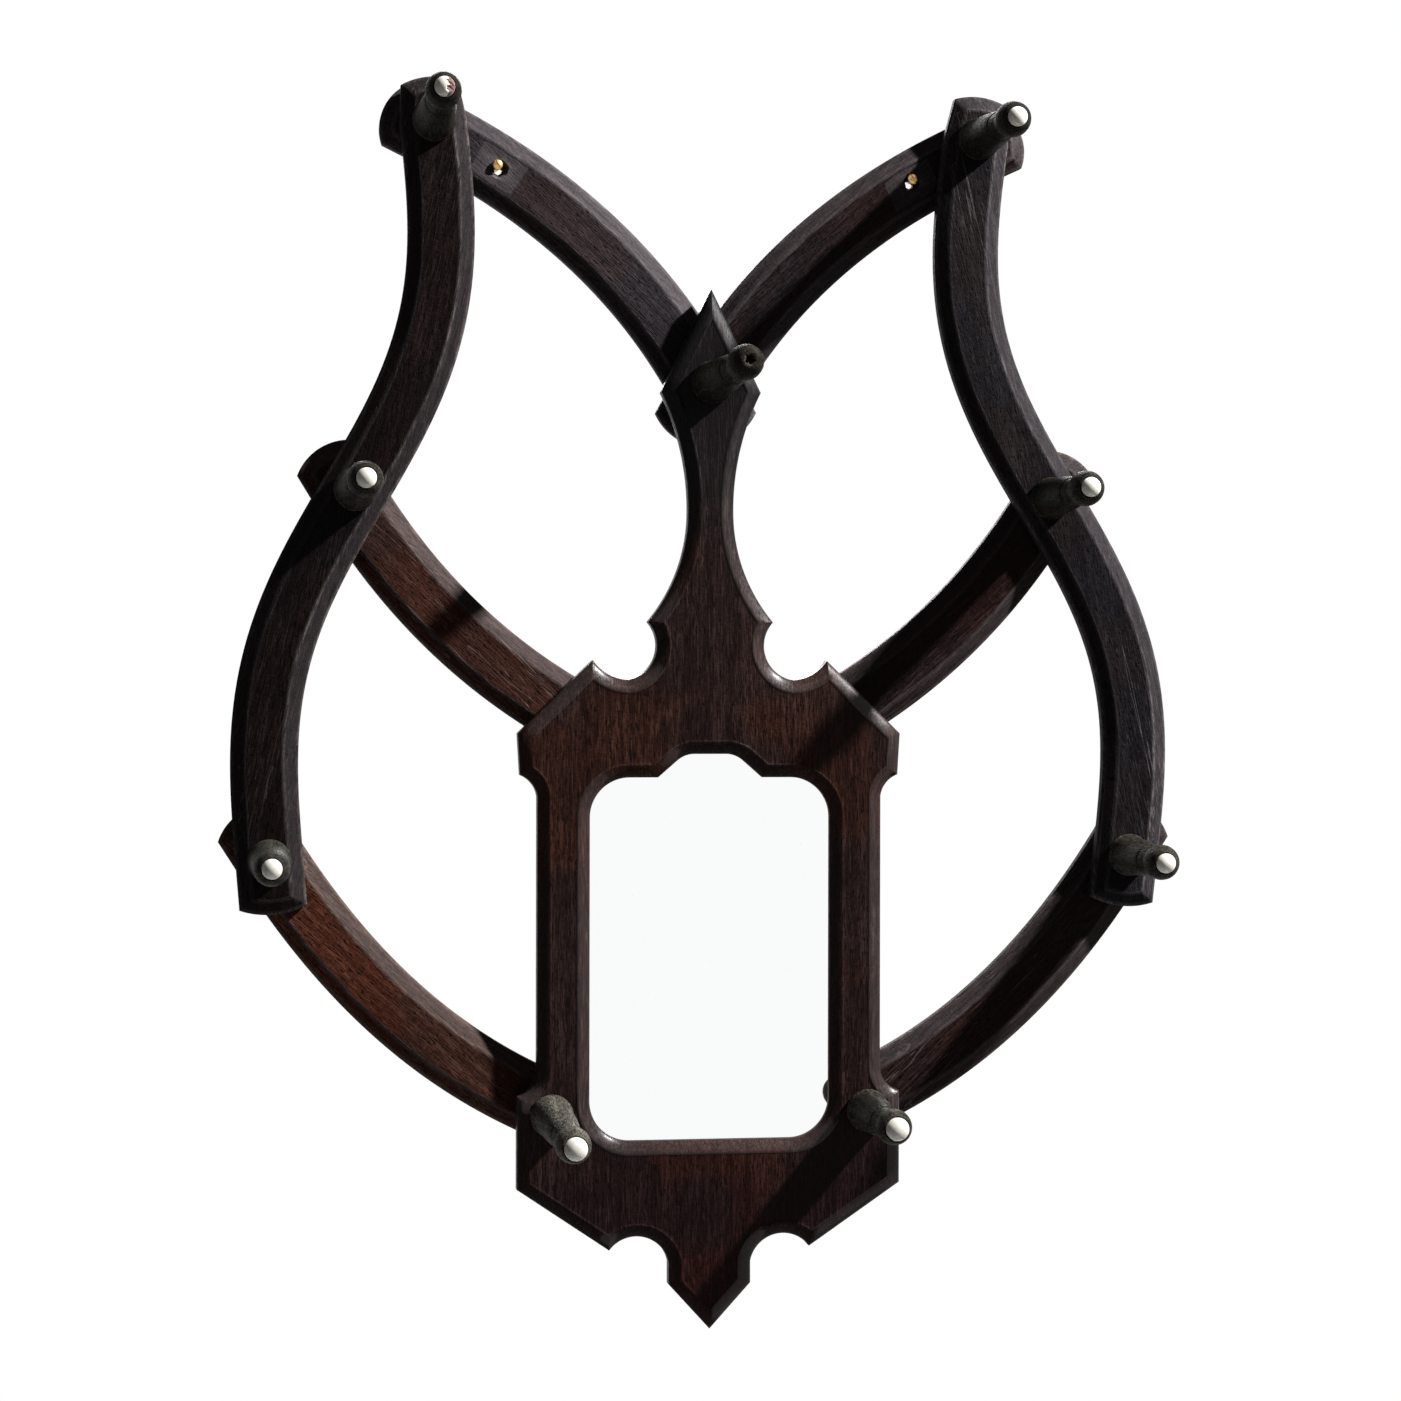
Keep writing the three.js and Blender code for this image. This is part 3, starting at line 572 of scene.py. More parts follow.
class Nodes:
    """Short calls for the node tree of a new material, or of the world."""

    def __init__(self, name, world=False):
        self.owner = (bpy.data.worlds if world else bpy.data.materials).new(name)
        self.owner.use_nodes = True
        self.tree = self.owner.node_tree
        self.shader = self.tree.nodes["Background" if world else "Principled BSDF"]
        if not world:
            self.place = self.add("ShaderNodeTexCoord").outputs["Object"]

    def add(self, kind, **values):
        node = self.tree.nodes.new(kind)
        for key, value in values.items():
            setattr(node, key, value)
        return node

    def put(self, socket, value):
        if isinstance(value, bpy.types.NodeSocket):
            self.tree.links.new(value, socket)
        else:
            socket.default_value = value

    def fill(self, node, **values):
        """Sets the node's inputs, named with _ for spaces, and gives its first output."""
        for key, value in values.items():
            self.put(node.inputs[key.replace("_", " ")], value)
        return node.outputs[0]

    def mapped(self, source, scale=(1, 1, 1), turn=(0, 0, 0), shift=(0, 0, 0)):
        return self.fill(self.add("ShaderNodeMapping"), Vector=source, Scale=scale, Rotation=turn,
                         Location=shift)

    def noise(self, where, scale, detail=2.0, rough=0.5, bend=0.0):
        return self.fill(self.add("ShaderNodeTexNoise"), Vector=where, Scale=scale, Detail=detail,
                         Roughness=rough, Distortion=bend)

    def ramp(self, value, stops):
        node = self.add("ShaderNodeValToRGB")
        while len(node.color_ramp.elements) < len(stops):
            node.color_ramp.elements.new(0.5)
        for element, (where, colour) in zip(node.color_ramp.elements, stops):
            element.position = where
            element.color = (*colour, 1)
        return self.fill(node, Fac=value)

    def steps(self, value, low, high, start=0.0, end=1.0):
        node = self.add("ShaderNodeMapRange", interpolation_type="SMOOTHSTEP")
        return self.fill(node, Value=value, From_Min=low, From_Max=high, To_Min=start, To_Max=end)

    def mix(self, share, first, second, kind="MIX"):
        node = self.add("ShaderNodeMix", data_type="RGBA", blend_type=kind)
        self.put(node.inputs["Factor"], share)
        for socket, value in ((node.inputs[6], first), (node.inputs[7], second)):
            self.put(socket, (*value, 1) if isinstance(value, tuple) and len(value) == 3 else value)
        return node.outputs[2]

    def math(self, kind, first, second=0.0):
        node = self.add("ShaderNodeMath", operation=kind)
        self.put(node.inputs[0], first)
        self.put(node.inputs[1], second)
        return node.outputs[0]

    def product(self, first, second):
        return self.math("MULTIPLY", first, second)

    def sum(self, first, second):
        return self.math("ADD", first, second)

    def bump(self, height, distance, strength):
        node = self.add("ShaderNodeBump")
        bumped = self.fill(node, Height=height, Distance=distance, Strength=strength)
        self.put(self.shader.inputs["Normal"], bumped)

    # The wear attribute: real wear, and on arms and the board also painted sheen and highlight.
    def wear(self):
        return self.add("ShaderNodeAttribute", attribute_name="wear").outputs["Fac"]

    def finish(self, **values):
        self.fill(self.shader, **values)
        return self.owner


# Tints of red patches in the stain, the painted bluish shade on the board's neck and the
# board's darker foot.
RED_PATCH = (1.6, 1.1, 0.84)
PAINTED_SHADE_BLUE = (0.0052, 0.0053, 0.0062)
DARKER = (0.72, 0.58, 0.66)
# Wear shares over which a surface counts as planed rather than sawn: it takes more shine,
# smoother bumps and the painted sheen tone.
SHEEN_SHARES = (0.02, 0.12)
# Noises of the wood: scale across and along the grain, detail, roughness and distortion.
WOOD_NOISES = (
    ((14, 14, 5), 1.0), ((260, 260, 3.5), 3.0, 0.55, 0.5), ((1400, 1400, 100), 3.0, 0.65),
    ((420, 900, 900), 3.0, 0.6), ((1700, 1700, 260), 1.0, 0.4, 0.2),
    ((900, 900, 120), 4.0, 0.7), ((190, 190, 8), 2.0, 0.5, 0.3),
)


def times(colour, factor):
    return tuple(factor * value for value in colour)


def wood(name, tones, worn, turn=(0, 0, 0), shift=(0, 0, 0), gloss=0.46, dust_and_sheen=0.12, bared=1.0,
         planed=1.0, smoothed=0.7, patches=1.0, relief=0.0006, sheen=0.02, polish=0.02,
         cracked=1.0, cooled=None, deepened=None):
    """Stained open-grained wood, turned so that the grain runs along Z: bands and fibres are noise
    drawn out along it, pores its low dips, and drying checks lie where a long noise crosses its
    middle. Slow noises darken and redden the plank, and wear times a ragged noise bares the
    arrises, with a painted highlight on edges facing the lamp. Worn arrises and planed faces that
    face the lamp take a painted sheen tone, and light fibre flecks are dust and painted sheen. Over
    the heights cooled the board turns to a painted bluish shade upward, over deepened darker
    down."""
    n = Nodes(name)
    dark, mid, light, painted_sheen_tone = (tuple(tone) for tone in tones)
    grain = n.mapped(n.place, turn=turn, shift=shift)
    bend, bands, fibres, flecks, pores, ragged, seam = (
        n.noise(n.mapped(grain, scale=scale), 1.0, *rest) for scale, *rest in WOOD_NOISES)
    slow = n.noise(grain, 22.0, 3.0, 0.55)
    red = n.noise(n.mapped(grain, shift=(0.7, 0.3, 0.1)), 14.0, 2.0, 0.5)
    edge = n.wear()

    figure = n.sum(n.sum(n.product(bands, 0.3), n.product(fibres, 0.5)), n.product(flecks, 0.2))
    apart = n.math("ABSOLUTE", n.math("SUBTRACT", seam, 0.5))
    check = n.product(n.steps(apart, 0.002, 0.01, cracked, 0.0), n.steps(bend, 0.5, 0.6))
    pore = n.steps(pores, 0.35, 0.45, 1.0, 0.0)
    patch = n.product(n.steps(ragged, 0.38, 0.7), n.steps(slow, 0.3, 0.6, 1.0, 0.35))
    # Bare pale arris lines: rubbed wear plus a painted highlight on edges facing the lamp.
    bare_and_highlight = n.product(n.product(n.steps(edge, 0.2, 1.0), patch), bared)
    # Light fibre flecks: dust in the grain, and a painted sheen on the fibres.
    dust_and_sheen_flecks = n.product(n.steps(fibres, 0.55, 0.75), n.steps(bend, 0.35, 0.65, 0.2, 1.0))

    colour = n.ramp(figure, [(0.415, dark), (0.5, mid), (0.585, light)])
    colour = n.mix(n.steps(slow, 0.35, 0.7, 0.0, 0.6), colour, dark)
    colour = n.mix(n.steps(red, 0.46, 0.6, 0.0, patches), colour, RED_PATCH, "MULTIPLY")
    colour = n.mix(n.product(pore, 0.8), colour, times(dark, 0.2))
    # Painted sheen: worn arrises and chamfers and mouldings facing the lamp take a lighter, greyer
    # tone.
    cut = n.ramp(figure, [(0.36, times(painted_sheen_tone, 0.5)), (0.5, painted_sheen_tone), (0.64, times(painted_sheen_tone, 1.7))])
    colour = n.mix(n.steps(edge, *SHEEN_SHARES, 0.0, planed), colour, cut)
    # Painted shade: the board's upper part turns dark bluish over the shaded heights.
    if cooled:
        axes = n.add("ShaderNodeSeparateXYZ")
        n.fill(axes, Vector=n.place)
        level = axes.outputs["Z"]
        colour = n.mix(n.steps(level, *cooled, 0.0, 0.85), colour, PAINTED_SHADE_BLUE)
        colour = n.mix(n.steps(level, *deepened, 1.0, 0.0), colour, DARKER, "MULTIPLY")
    colour = n.mix(n.product(dust_and_sheen_flecks, dust_and_sheen), colour, worn)
    colour = n.mix(n.product(check, 0.35), colour, worn)
    colour = n.mix(bare_and_highlight, colour, worn)

    rough = n.steps(fibres, 0.3, 0.7, gloss - 0.07, gloss + 0.12)
    rough = n.sum(rough, n.product(pore, 0.2))
    height = n.math("SUBTRACT", n.product(fibres, 0.6), n.product(pore, 0.6))
    height = n.sum(height, n.product(flecks, 0.8))
    height = n.math("SUBTRACT", height, n.product(n.sum(bare_and_highlight, check), 0.6))
    height = n.product(height, n.steps(edge, *SHEEN_SHARES, 1.0, smoothed))
    n.bump(height, relief, 0.5)
    shine = sheen if polish == sheen else n.steps(edge, *SHEEN_SHARES, sheen, polish)
    return n.finish(Base_Color=colour, Roughness=rough, Specular_IOR_Level=shine)


def turn_for(direction):
    """Turn that brings a grain direction in the plane of the rack to Z."""
    return (0.0, -float(np.arctan2(direction[0], direction[1])), 0.0)


def ceramic(name):
    """White glaze, clouded and specked; wear marks the rust-brown broken face."""
    n = Nodes(name)
    cloud = n.noise(n.place, 260.0, 3.0, 0.6)
    fine = n.noise(n.place, 1800.0, 2.0, 0.5)
    edge = n.wear()
    white = [(0.3, (0.55, 0.53, 0.47)), (0.55, (0.62, 0.6, 0.54)), (0.75, (0.67, 0.66, 0.61))]
    colour = n.ramp(cloud, white)
    colour = n.mix(n.steps(fine, 0.25, 0.34, 0.55, 0.0), colour, (0.24, 0.19, 0.14))
    colour = n.mix(n.steps(edge, 0.3, 0.95), colour, (0.085, 0.03, 0.02))
    n.bump(cloud, 0.0002, 0.25)
    rough = n.steps(edge, 0.2, 0.8, 0.22, 0.7)
    return n.finish(Base_Color=colour, Roughness=rough, Subsurface_Weight=0.6,
                    Subsurface_Radius=(1, 1, 0.9), Subsurface_Scale=0.002)


def metal(name, low, high, rust, amount, gloss):
    """Clouded metal between two tones, with an amount of dull stain."""
    n = Nodes(name)
    cloud = n.noise(n.place, 420.0, 4.0, 0.62)
    fine = n.noise(n.place, 2600.0, 2.0, 0.6)
    mottle = n.sum(n.product(cloud, 0.6), n.product(fine, 0.4))
    stain = n.steps(mottle, 0.48, 0.6, 0.0, amount)
    colour = n.mix(stain, n.ramp(cloud, [(0.3, low), (0.7, high)]), rust)
    rough = n.steps(fine, 0.3, 0.7, gloss, gloss + 0.2)
    n.bump(fine, 0.0001, 0.3)
    return n.finish(Base_Color=colour, Roughness=rough, Metallic=n.steps(stain, 0, 1, 1, 0.25))


def mirror_finish(name):
    """Silvered glass with a faint haze and a few dark specks."""
    n = Nodes(name)
    spots = n.noise(n.place, 900.0, 3.0, 0.6)
    haze = n.noise(n.place, 30.0, 3.0, 0.6)
    colour = n.mix(n.steps(spots, 0.73, 0.8), (0.95, 0.955, 0.955), (0.35, 0.34, 0.32))
    return n.finish(Base_Color=colour, Roughness=n.steps(haze, 0.4, 0.75, 0.015, 0.05), Metallic=1)


PALE_WOOD = ((0.17, 0.1, 0.055), (0.24, 0.145, 0.08), (0.32, 0.2, 0.115), (0.24, 0.145, 0.08))
BACKING = wood(
    "thin_backing_board", PALE_WOOD, (0.36, 0.25, 0.16), gloss=0.7, dust_and_sheen=0.25, planed=0,
    patches=0.2)
CERAMIC = ceramic("crazed_white_ceramic")
STEEL = metal("dull_steel", (0.2, 0.19, 0.18), (0.36, 0.34, 0.32), (0.1, 0.04, 0.02), 0.85, 0.38)
BRASS = metal("tarnished_brass", (0.5, 0.3, 0.1), (0.72, 0.5, 0.22), (0.13, 0.06, 0.025), 0.6, 0.3)
MIRROR = mirror_finish("silvered_glass")
# Lightness of each peg's wood.
PEG_TONES = {
    "top": 0.5, "right_middle": 0.5, "right_upper": 0.6, "left_upper": 0.7, "left_middle": 0.75,
    "right_foot": 0.8, "right_lower": 0.9, "left_lower": 1.3, "left_foot": 3.1,
}
# Dark, middle, light and painted sheen tone of a peg, a cool plank and a warm plank; the last
# is a lighter tone painted on faces that face the lamp.
PEG_WOOD = np.array([
    [0.007, 0.0066, 0.0058], [0.02, 0.0186, 0.0155], [0.042, 0.039, 0.031], [0.03, 0.027, 0.022],
])
COOL_WOOD = np.array([
    [0.0045, 0.0038, 0.0046], [0.0085, 0.0076, 0.0092], [0.0165, 0.015, 0.0175],
    [0.024, 0.0205, 0.0225],
])
WARM_WOOD = np.array([
    [0.0095, 0.0033, 0.0022], [0.021, 0.0083, 0.0055], [0.041, 0.019, 0.0135],
    [0.034, 0.023, 0.0205],
])


def turned_wood(name, tone):
    """Dark olive-grey turned wood, its grain along the peg."""
    return wood(name + "_turned_wood", tone * PEG_WOOD, (0.15, 0.13, 0.105),
                turn=(np.pi / 2, 0, 0), gloss=0.42, bared=0.5, planed=0, patches=0.15)


SPACER_WOOD = turned_wood("spacer", 0.8)


def plank(name, direction, warmth, tone, shift, **finish):
    """The wood of one plank: warmth goes from grey-brown to orange-brown, tone scales it all."""
    tones = np.array([tone, tone, tone, tone ** 0.7])[:, None]
    finish.setdefault("patches", 0.45 + 0.3 * warmth)
    tones = tones * ((1 - warmth) * COOL_WOOD + warmth * WARM_WOOD)
    worn = (0.14 + 0.05 * warmth, 0.125, 0.125 - 0.03 * warmth)
    return wood(name, tones, worn, turn_for(direction), shift, **finish)


def keep(piece, material, body, slot, *nodes):
    """The piece stands for the nodes, rides on the body and takes the material as its finish.
    The slot is not used.
    """
    piece.data.materials.append(material)
    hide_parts(*nodes)
    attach(piece, body)


# Board.

# Right halves of the board's outline and of its opening, as stations for loop_from.
BOARD_HALF = [
    [0, -468.5], [20.5, -446], [20.5, -435.1, -9.8, 9], [50.1, -428.6], [95.8, -397.7],
    [95.8, -351.8, -2.3, 4], [86, -340.6], [86, -204.6, -1.9, 4], [94.6, -193.9], [95.8, -173.4],
    [58.7, -137.3, -2.4, 5], [41.2, -146.9, -9, 9], [31.4, -118.3, -5.2, 7], [11.3, -63.6, -3.6, 7],
    [25, -4.5], [0, 46.6],
]
OPENING_HALF = [
    [40, -374.6, 5.86, 6], [60, -354.6], [60, -215.2, 5.8, 6], [40.5, -195.2], [26.1, -195.2],
    [16.5, -186.8, 0.82, 3], [7.9, -183.6],
]
MOULDING_WIDTH = 6.2
MOULDING_DEPTH = 4
MOULDING_ANGLES = 14
# The board's flat lies this far behind the moulding's arris; the small step between them, as
# distance from the arris, share of that depth and a wear share that paints a highlight on edges
# facing the lamp.
BOARD_SINK = 0.3
QUIRK = ((0.25, 0.15, 0.8), (0.5, 0.75, 0.3), (0.75, 1.0, 0.0), (2.0, 1.0, 0.0))
# The board's rear edge: inset, place and wear.
BOARD_REAR = ((0.6, 0, 0.4), (0.15, -0.15, 0.8), (0, -0.6, 0.3), (0, -2, 0.0))
REBATE_WIDTH = 4.5
REBATE_DEPTH = 6


def moulding(loop, way, seed):
    """Rings of a moulding from the edge up to the arris, halfway between a quarter-round and a
    plain slope, and down a small step to the flat; where it faces up or right, towards the lamp,
    it takes a painted sheen tone and painted highlights near its crest and on the step."""
    rings = []
    inward = normals(loop)
    inward /= np.maximum(1, size_of(inward))[:, None]
    loose = wander(len(loop), seed, (5, 11, 17, 29), 0.14)[:, None] * inward
    lit = painted_light_share(way * inward)
    for angle in np.linspace(0, np.pi / 2, MOULDING_ANGLES):
        across = MOULDING_WIDTH * (1 - np.cos(angle))
        level = BOARD_FRONT + MOULDING_DEPTH * (1 - np.sin(angle) + np.cos(angle)) / 2
        # Painted light: painted sheen, and a painted highlight near the crest, where it faces the
        # lamp.
        share = (PAINTED_SHEEN + 0.3 * np.exp(-((angle - 1.2) / 0.3) ** 2)) * lit
        rings.append((shifted(inset(loop, way * across), loose * np.sin(angle)), level, share))
    for across, sunk, share in QUIRK:
        level = BOARD_FRONT + sunk * BOARD_SINK
        moved = shifted(inset(loop, way * (MOULDING_WIDTH + across)), loose)
        rings.append((moved, level, share * lit))
    return rings


def board():
    edge = mirrored_loop(BOARD_HALF, 3)
    opening = mirrored_loop(OPENING_HALF, 4)
    outside = inset_rings(edge, BOARD_REAR, BOARD_BACK) + moulding(edge, way=1, seed=3)
    rebate = inset(opening, -REBATE_WIDTH)
    floor = BOARD_BACK - REBATE_DEPTH
    window = [(rebate, BOARD_BACK, 0.4), (rebate, floor, 0.0), (opening, floor, 0.0)]
    holes = [window + moulding(opening, way=-1, seed=5)]
    for centre in ((0, 0), (PIVOT_HALF_SPREAD, -PIVOT_DROP), (-PIVOT_HALF_SPREAD, -PIVOT_DROP)):
        round_hole = circle(centre, TENON_RADIUS + REST)
        holes.append([(round_hole, BOARD_BACK, 0.0), (round_hole, BOARD_FRONT + BOARD_SINK, 0.0)])
    piece = plate("moulded_board", outside, holes)
    finish = plank(
        "board_wood", (0, 1), 0.55, 1.06, (0.31, 0.12, 0.4), gloss=0.27, patches=0.9, planed=0.25,
        smoothed=0.15, relief=0.0003, sheen=0.032, polish=0.14, cracked=0.15,
        cooled=(-0.11, -0.03), deepened=(-0.41, -0.36))
    keep(piece, finish, "centre", "dark_wood", "mirror_frame")


# Pegs and fixings.

def smooth_profile(stations, count):
    """A smooth profile through the stations, sampled evenly in the station number."""
    s = np.array([stations[0], *stations, stations[-1]], float)
    t = np.linspace(0, len(stations) - 1, count)
    k = np.minimum(t.astype(int), len(stations) - 2)
    u = (t - k)[:, None]
    a, b, c, d = s[k], s[k + 1], s[k + 2], s[np.minimum(k + 3, len(s) - 1)]
    square, cube = (2 * a - 5 * b + 4 * c - d) * u ** 2, (3 * b - 3 * c + d - a) * u ** 3
    return 0.5 * (2 * b + (c - a) * u + square + cube)


def peg_stations(tenon, tip):
    """Radius, distance in front of the face, wear: tenon, rim, flare with fine tool lines, ball
    head, and the seat of the tip, or the torn hole of a lost one."""
    bore_radius = SCREW_RADIUS + REST
    bore_end = SCREW_LENGTH + REST - tenon
    rear = [(0, bore_end, 0), (bore_radius, bore_end, 0), (bore_radius, -tenon, 0),
            (TENON_RADIUS - 0.4, -tenon, 0), (TENON_RADIUS, 0.4 - tenon, 0),
            (TENON_RADIUS, REST, 0)]
    side = smooth_profile(PEG_FLARE, 100)
    height = side[:, 1]
    lines = 0.05 * np.sin(height * 5.3) + 0.035 * np.sin(height * 11.9 + 1)
    grooves = sum(0.3 * np.exp(-((height - where) / 0.4) ** 2) for where in (5.2, 41.5))
    radius = side[:, 0] + lines * (height > 3) - grooves
    worn = 0.8 * np.exp(-((height - 61) / 6) ** 2) + 0.9 * np.exp(-((height - 2.5) / 1.5) ** 2)
    flare = list(zip(radius, height, worn))
    rim = [(PEG_RIM - 0.5, REST, 0), (PEG_RIM, REST + 0.5, 0.6)]
    front = TORN_FRONT
    if tip > 0:
        front = [(tip + REST + beyond, place, wear) for beyond, place, wear in SEAT_FRONT]
        front.append((0, front[-1][1], 0))
    return rear + rim + flare + front


def torn(radius, forward, angle):
    """Swings the radius with the angle near the front of a torn hole."""
    near = np.exp(-((radius - 1.9) / 0.7) ** 2) * (forward > 64)
    swing = 0.4 * np.cos(5 * angle + 0.6) + 0.2 * np.cos(3 * angle + 2.1) + 0.12 * np.cos(8 * angle)
    return near * swing


def tip_stations(tip):
    """Disc and dome of a ceramic tip."""
    back, edge = 67.7, PEG_LENGTH + 0.6
    dome_radius = (tip ** 2 + TIP_RISE ** 2) / (2 * TIP_RISE)
    stations = [(0, back, 0), (tip - 0.3, back, 0), (tip, back + 0.3, 0), (tip, edge - 0.5, 0)]
    for radius in tip * np.cos(np.linspace(0.03, np.pi / 2, 22)):
        dome = np.sqrt(dome_radius ** 2 - radius ** 2)
        stations.append((radius, edge + TIP_RISE - dome_radius + dome, 0))
    stations[-1] = (0, edge + TIP_RISE, 0)
    return stations


def chip(piece, at, slope):
    """Breaks the right side of a tip away: points beyond a wavy line fall back to a rough face,
    which wear marks as bared."""
    mesh = piece.data
    points = np.empty(len(mesh.vertices) * 3)
    mesh.vertices.foreach_get("co", points)
    points = points.reshape(-1, 3) / MM
    forward = at[1] - points[:, 1]
    x = points[:, 0] - at[0] - slope[0] * forward
    z = points[:, 2] - at[2] - slope[1] * forward
    line = 1.0 + 0.6 * np.sin(1.7 * z + 0.5) + 0.3 * np.sin(4.1 * z)
    beyond = np.clip(x - line, 0, None)
    fall = np.minimum(beyond * 2.2, 1.1 + 0.25 * beyond + 0.2 * np.sin(3 * z + 2 * x))
    level = np.minimum(forward, PEG_LENGTH + 3.2 - fall)
    broken = (beyond > 0.05) & (forward > PEG_LENGTH + 0.7)
    points[:, 1] = np.where(broken, at[1] - level, points[:, 1])
    mesh.vertices.foreach_set("co", (points * MM).ravel())
    wear = np.clip(broken * beyond * 3, 0, 1).astype(np.float32)
    mesh.attributes["wear"].data.foreach_set("value", wear)
    mesh.update()


def add_peg(name, body, centre, front, rear_back, tip_radius=TIP_RADIUS):
    """A peg on a face at front, its tip unless the radius is 0, and behind it, in the counterbore
    of the strip whose back lies at rear_back, its washer and screw."""
    at = (centre[0], front, centre[1])
    floor = rear_back - COUNTERBORE_DEPTH
    slope = tuple(lean / PEG_LENGTH for lean in PEG_LEAN[name])
    broken = tip_radius == 0
    peg = turned(name + "_turned_peg", peg_stations(floor - front, tip_radius), at, slope,
                 wobble=torn if broken else None)
    keep(peg, turned_wood(name, PEG_TONES[name]), body, "turned_wood", name + "_peg")
    if not broken:
        tip = turned(name + "_glazed_tip", tip_stations(tip_radius), at, slope, sides=48)
        if name == "left_upper":
            chip(tip, at, slope)
        keep(tip, CERAMIC, body, "ceramic", name + "_tip")
    washer = ring(name + "_pressed_washer", WASHER_RADIUS, SCREW_RADIUS + REST,
                  -REST - WASHER_THICKNESS, -REST, (centre[0], floor, centre[1]), 0.2)
    keep(washer, STEEL, body, "steel", name + "_washer")
    seat = floor + 2 * REST + WASHER_THICKNESS
    turn = sum(ord(letter) for letter in name) * 0.7
    screw = slotted_screw(name + "_slotted_screw", 3.8, 1.7, SCREW_RADIUS, SCREW_LENGTH,
                          (centre[0], seat, centre[1]), 1, turn)
    keep(screw, STEEL, body, "steel", name + "_screw")


def add_pivot_fixings(side, sign, link_layer):
    """The foot peg, the hidden screw of the middle link and, where a layer lies between the links
    and the board, the spacers that fill it."""
    at = pivots(sign)
    back = layer_back(link_layer)
    floor = back - COUNTERBORE_DEPTH
    add_peg(side + "_foot", "centre", at["lower"], BOARD_FRONT, back, FOOT_TIP_RADIUS)
    x, z = at["middle"]
    length = floor + REST - BOARD_BACK + HIDDEN_SCREW_HOLD
    screw = slotted_screw(side + "_hidden_slotted_screw", 5, 1.7, PIVOT_SCREW_RADIUS, length,
                          (x, floor + REST, z), 1, 0.9)
    keep(screw, STEEL, "centre", "steel", side + "_hidden_screw")
    front = back - ARM_THICKNESS
    if front - BOARD_BACK > ARM_THICKNESS:
        depth = front - BOARD_BACK - REST
        for name, (cx, cz), inner in (("foot", at["lower"], TENON_RADIUS + REST),
                                      ("hidden", at["middle"], PIVOT_SCREW_RADIUS + REST)):
            spacer = ring(f"{side}_{name}_wooden_spacer", SPACER_RADIUS, inner, REST, depth,
                          (cx, front, cz), 0.4)
            keep(spacer, SPACER_WOOD, "centre", "dark_wood", f"{side}_{name}_spacer")


# Wings.

def round_end(radius):
    """Reach, rise and half width of a round end of a link."""
    reach = float(np.sqrt(radius ** 2 - LINK_HALF ** 2))
    return reach, radius - reach, LINK_HALF


# Warmth and tone of each strip, for plank.
PLANKS = {
    "left_upper": (0.05, 2.4), "left_middle": (0.7, 1.7), "left_lower": (0.95, 2.0),
    "left_outer": (0.2, 0.56), "right_upper": (0.2, 1.3), "right_middle": (0.4, 0.85),
    "right_lower": (0.35, 1.0), "right_outer": (0.0, 1.02),
}


def add_wing(side, layout, seed):
    """Three links on the board's pivots, the outer arm with its pegs, and the wall screw."""
    sign, outer_layer, link_layer = (layout[key] for key in ("sign", "outer_layer", "link_layer"))
    at = pivots(sign)
    reach = reach_of(sign)
    for order, (level, curve) in enumerate(LINK_CURVES.items()):
        drop = layout["upper_drop"] if level == "upper" else 0

        def bowed(u, curve=curve, drop=drop):
            full = 4 * curve["bow"] * u * (1 - u) * (1 + curve["shift"] * (2 * u - 1))
            return full + curve["inner"] * (1 - u) + (curve["outer"] + drop) * u

        head, foot = (round_end(radius) for radius in curve["radii"])
        outline = arm_outline(reach, bowed, sign, head, foot, LINK_HALF, steps=66, end_steps=20)
        pin = PIVOT_SCREW_RADIUS if level == "middle" else TENON_RADIUS
        rearmost = level != "upper" or link_layer == 0
        holes = [bore((0, 0), pin + REST, rearmost), bore(reach, TENON_RADIUS + REST, True)]
        if level == "upper":
            hole = np.array([sign * WALL_HOLE[0], WALL_HOLE[1]])
            holes.append([(circle(hole, radius, WALL_HOLE_RAGGED), -depth, wear)
                          for radius, depth, wear in WALL_HOLE_RINGS])
        rings = arm_rings(outline, seed + order, [(0, 0), reach])
        name = f"{side}_{level}"
        piece = plate(name + "_curved_link", rings, holes, at[level], layer_back(link_layer))
        shift = (0.13 * order + 0.4 * sign, 0.21 * order, 0.37 * order + 0.1 * sign)
        finish = plank(name + "_link_wood", reach, *PLANKS[name], shift)
        keep(piece, finish, name, "dark_wood", name + "_link")
    along = at["lower"]
    lean = PIVOT_HALF_SPREAD / 2 - MIDDLE_HALF_SPREAD

    def waved(u):
        return lean * np.sin(np.pi * u) + layout["wave"] * np.sin(2 * np.pi * u)

    head, foot = (19, 3, OUTER_HALF - 2.4), (23, 3.4, OUTER_HALF)
    outline = arm_outline(along, waved, sign, head, foot, OUTER_HALF, steps=72, end_steps=18)
    holes = [bore(at[level], TENON_RADIUS + REST) for level in at]
    rings = arm_rings(outline, seed + 5, list(at.values()))
    arm = plate(f"{side}_curved_outer_arm", rings, holes, reach, layer_back(outer_layer))
    name = f"{side}_outer"
    finish = plank(name + "_arm_wood", -along, *PLANKS[name], (0.05, 0.3 * sign, 0.2), patches=0.5)
    keep(arm, finish, name, "dark_wood", name + "_arm")
    for level in at:
        add_peg(f"{side}_{level}", name, at[level] + reach,
                layer_back(outer_layer) - ARM_THICKNESS, layer_back(link_layer))
    front = layer_back(link_layer) - ARM_THICKNESS
    place = (sign * (WALL_HOLE[0] + 0.7), front - REST, WALL_HOLE[1] + 2)
    screw = slotted_screw(f"{side}_brass_wall_screw", 2.6, 1.9, 1.6, -front, place, -1, 0.5)
    keep(screw, BRASS, f"{side}_upper", "brass", f"{side}_wall_screw")


def finish_node(name, material):
    """A CAD node that stays gets a finished material."""
    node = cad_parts[name]
    node.data.materials.clear()
    node.data.materials.append(material)


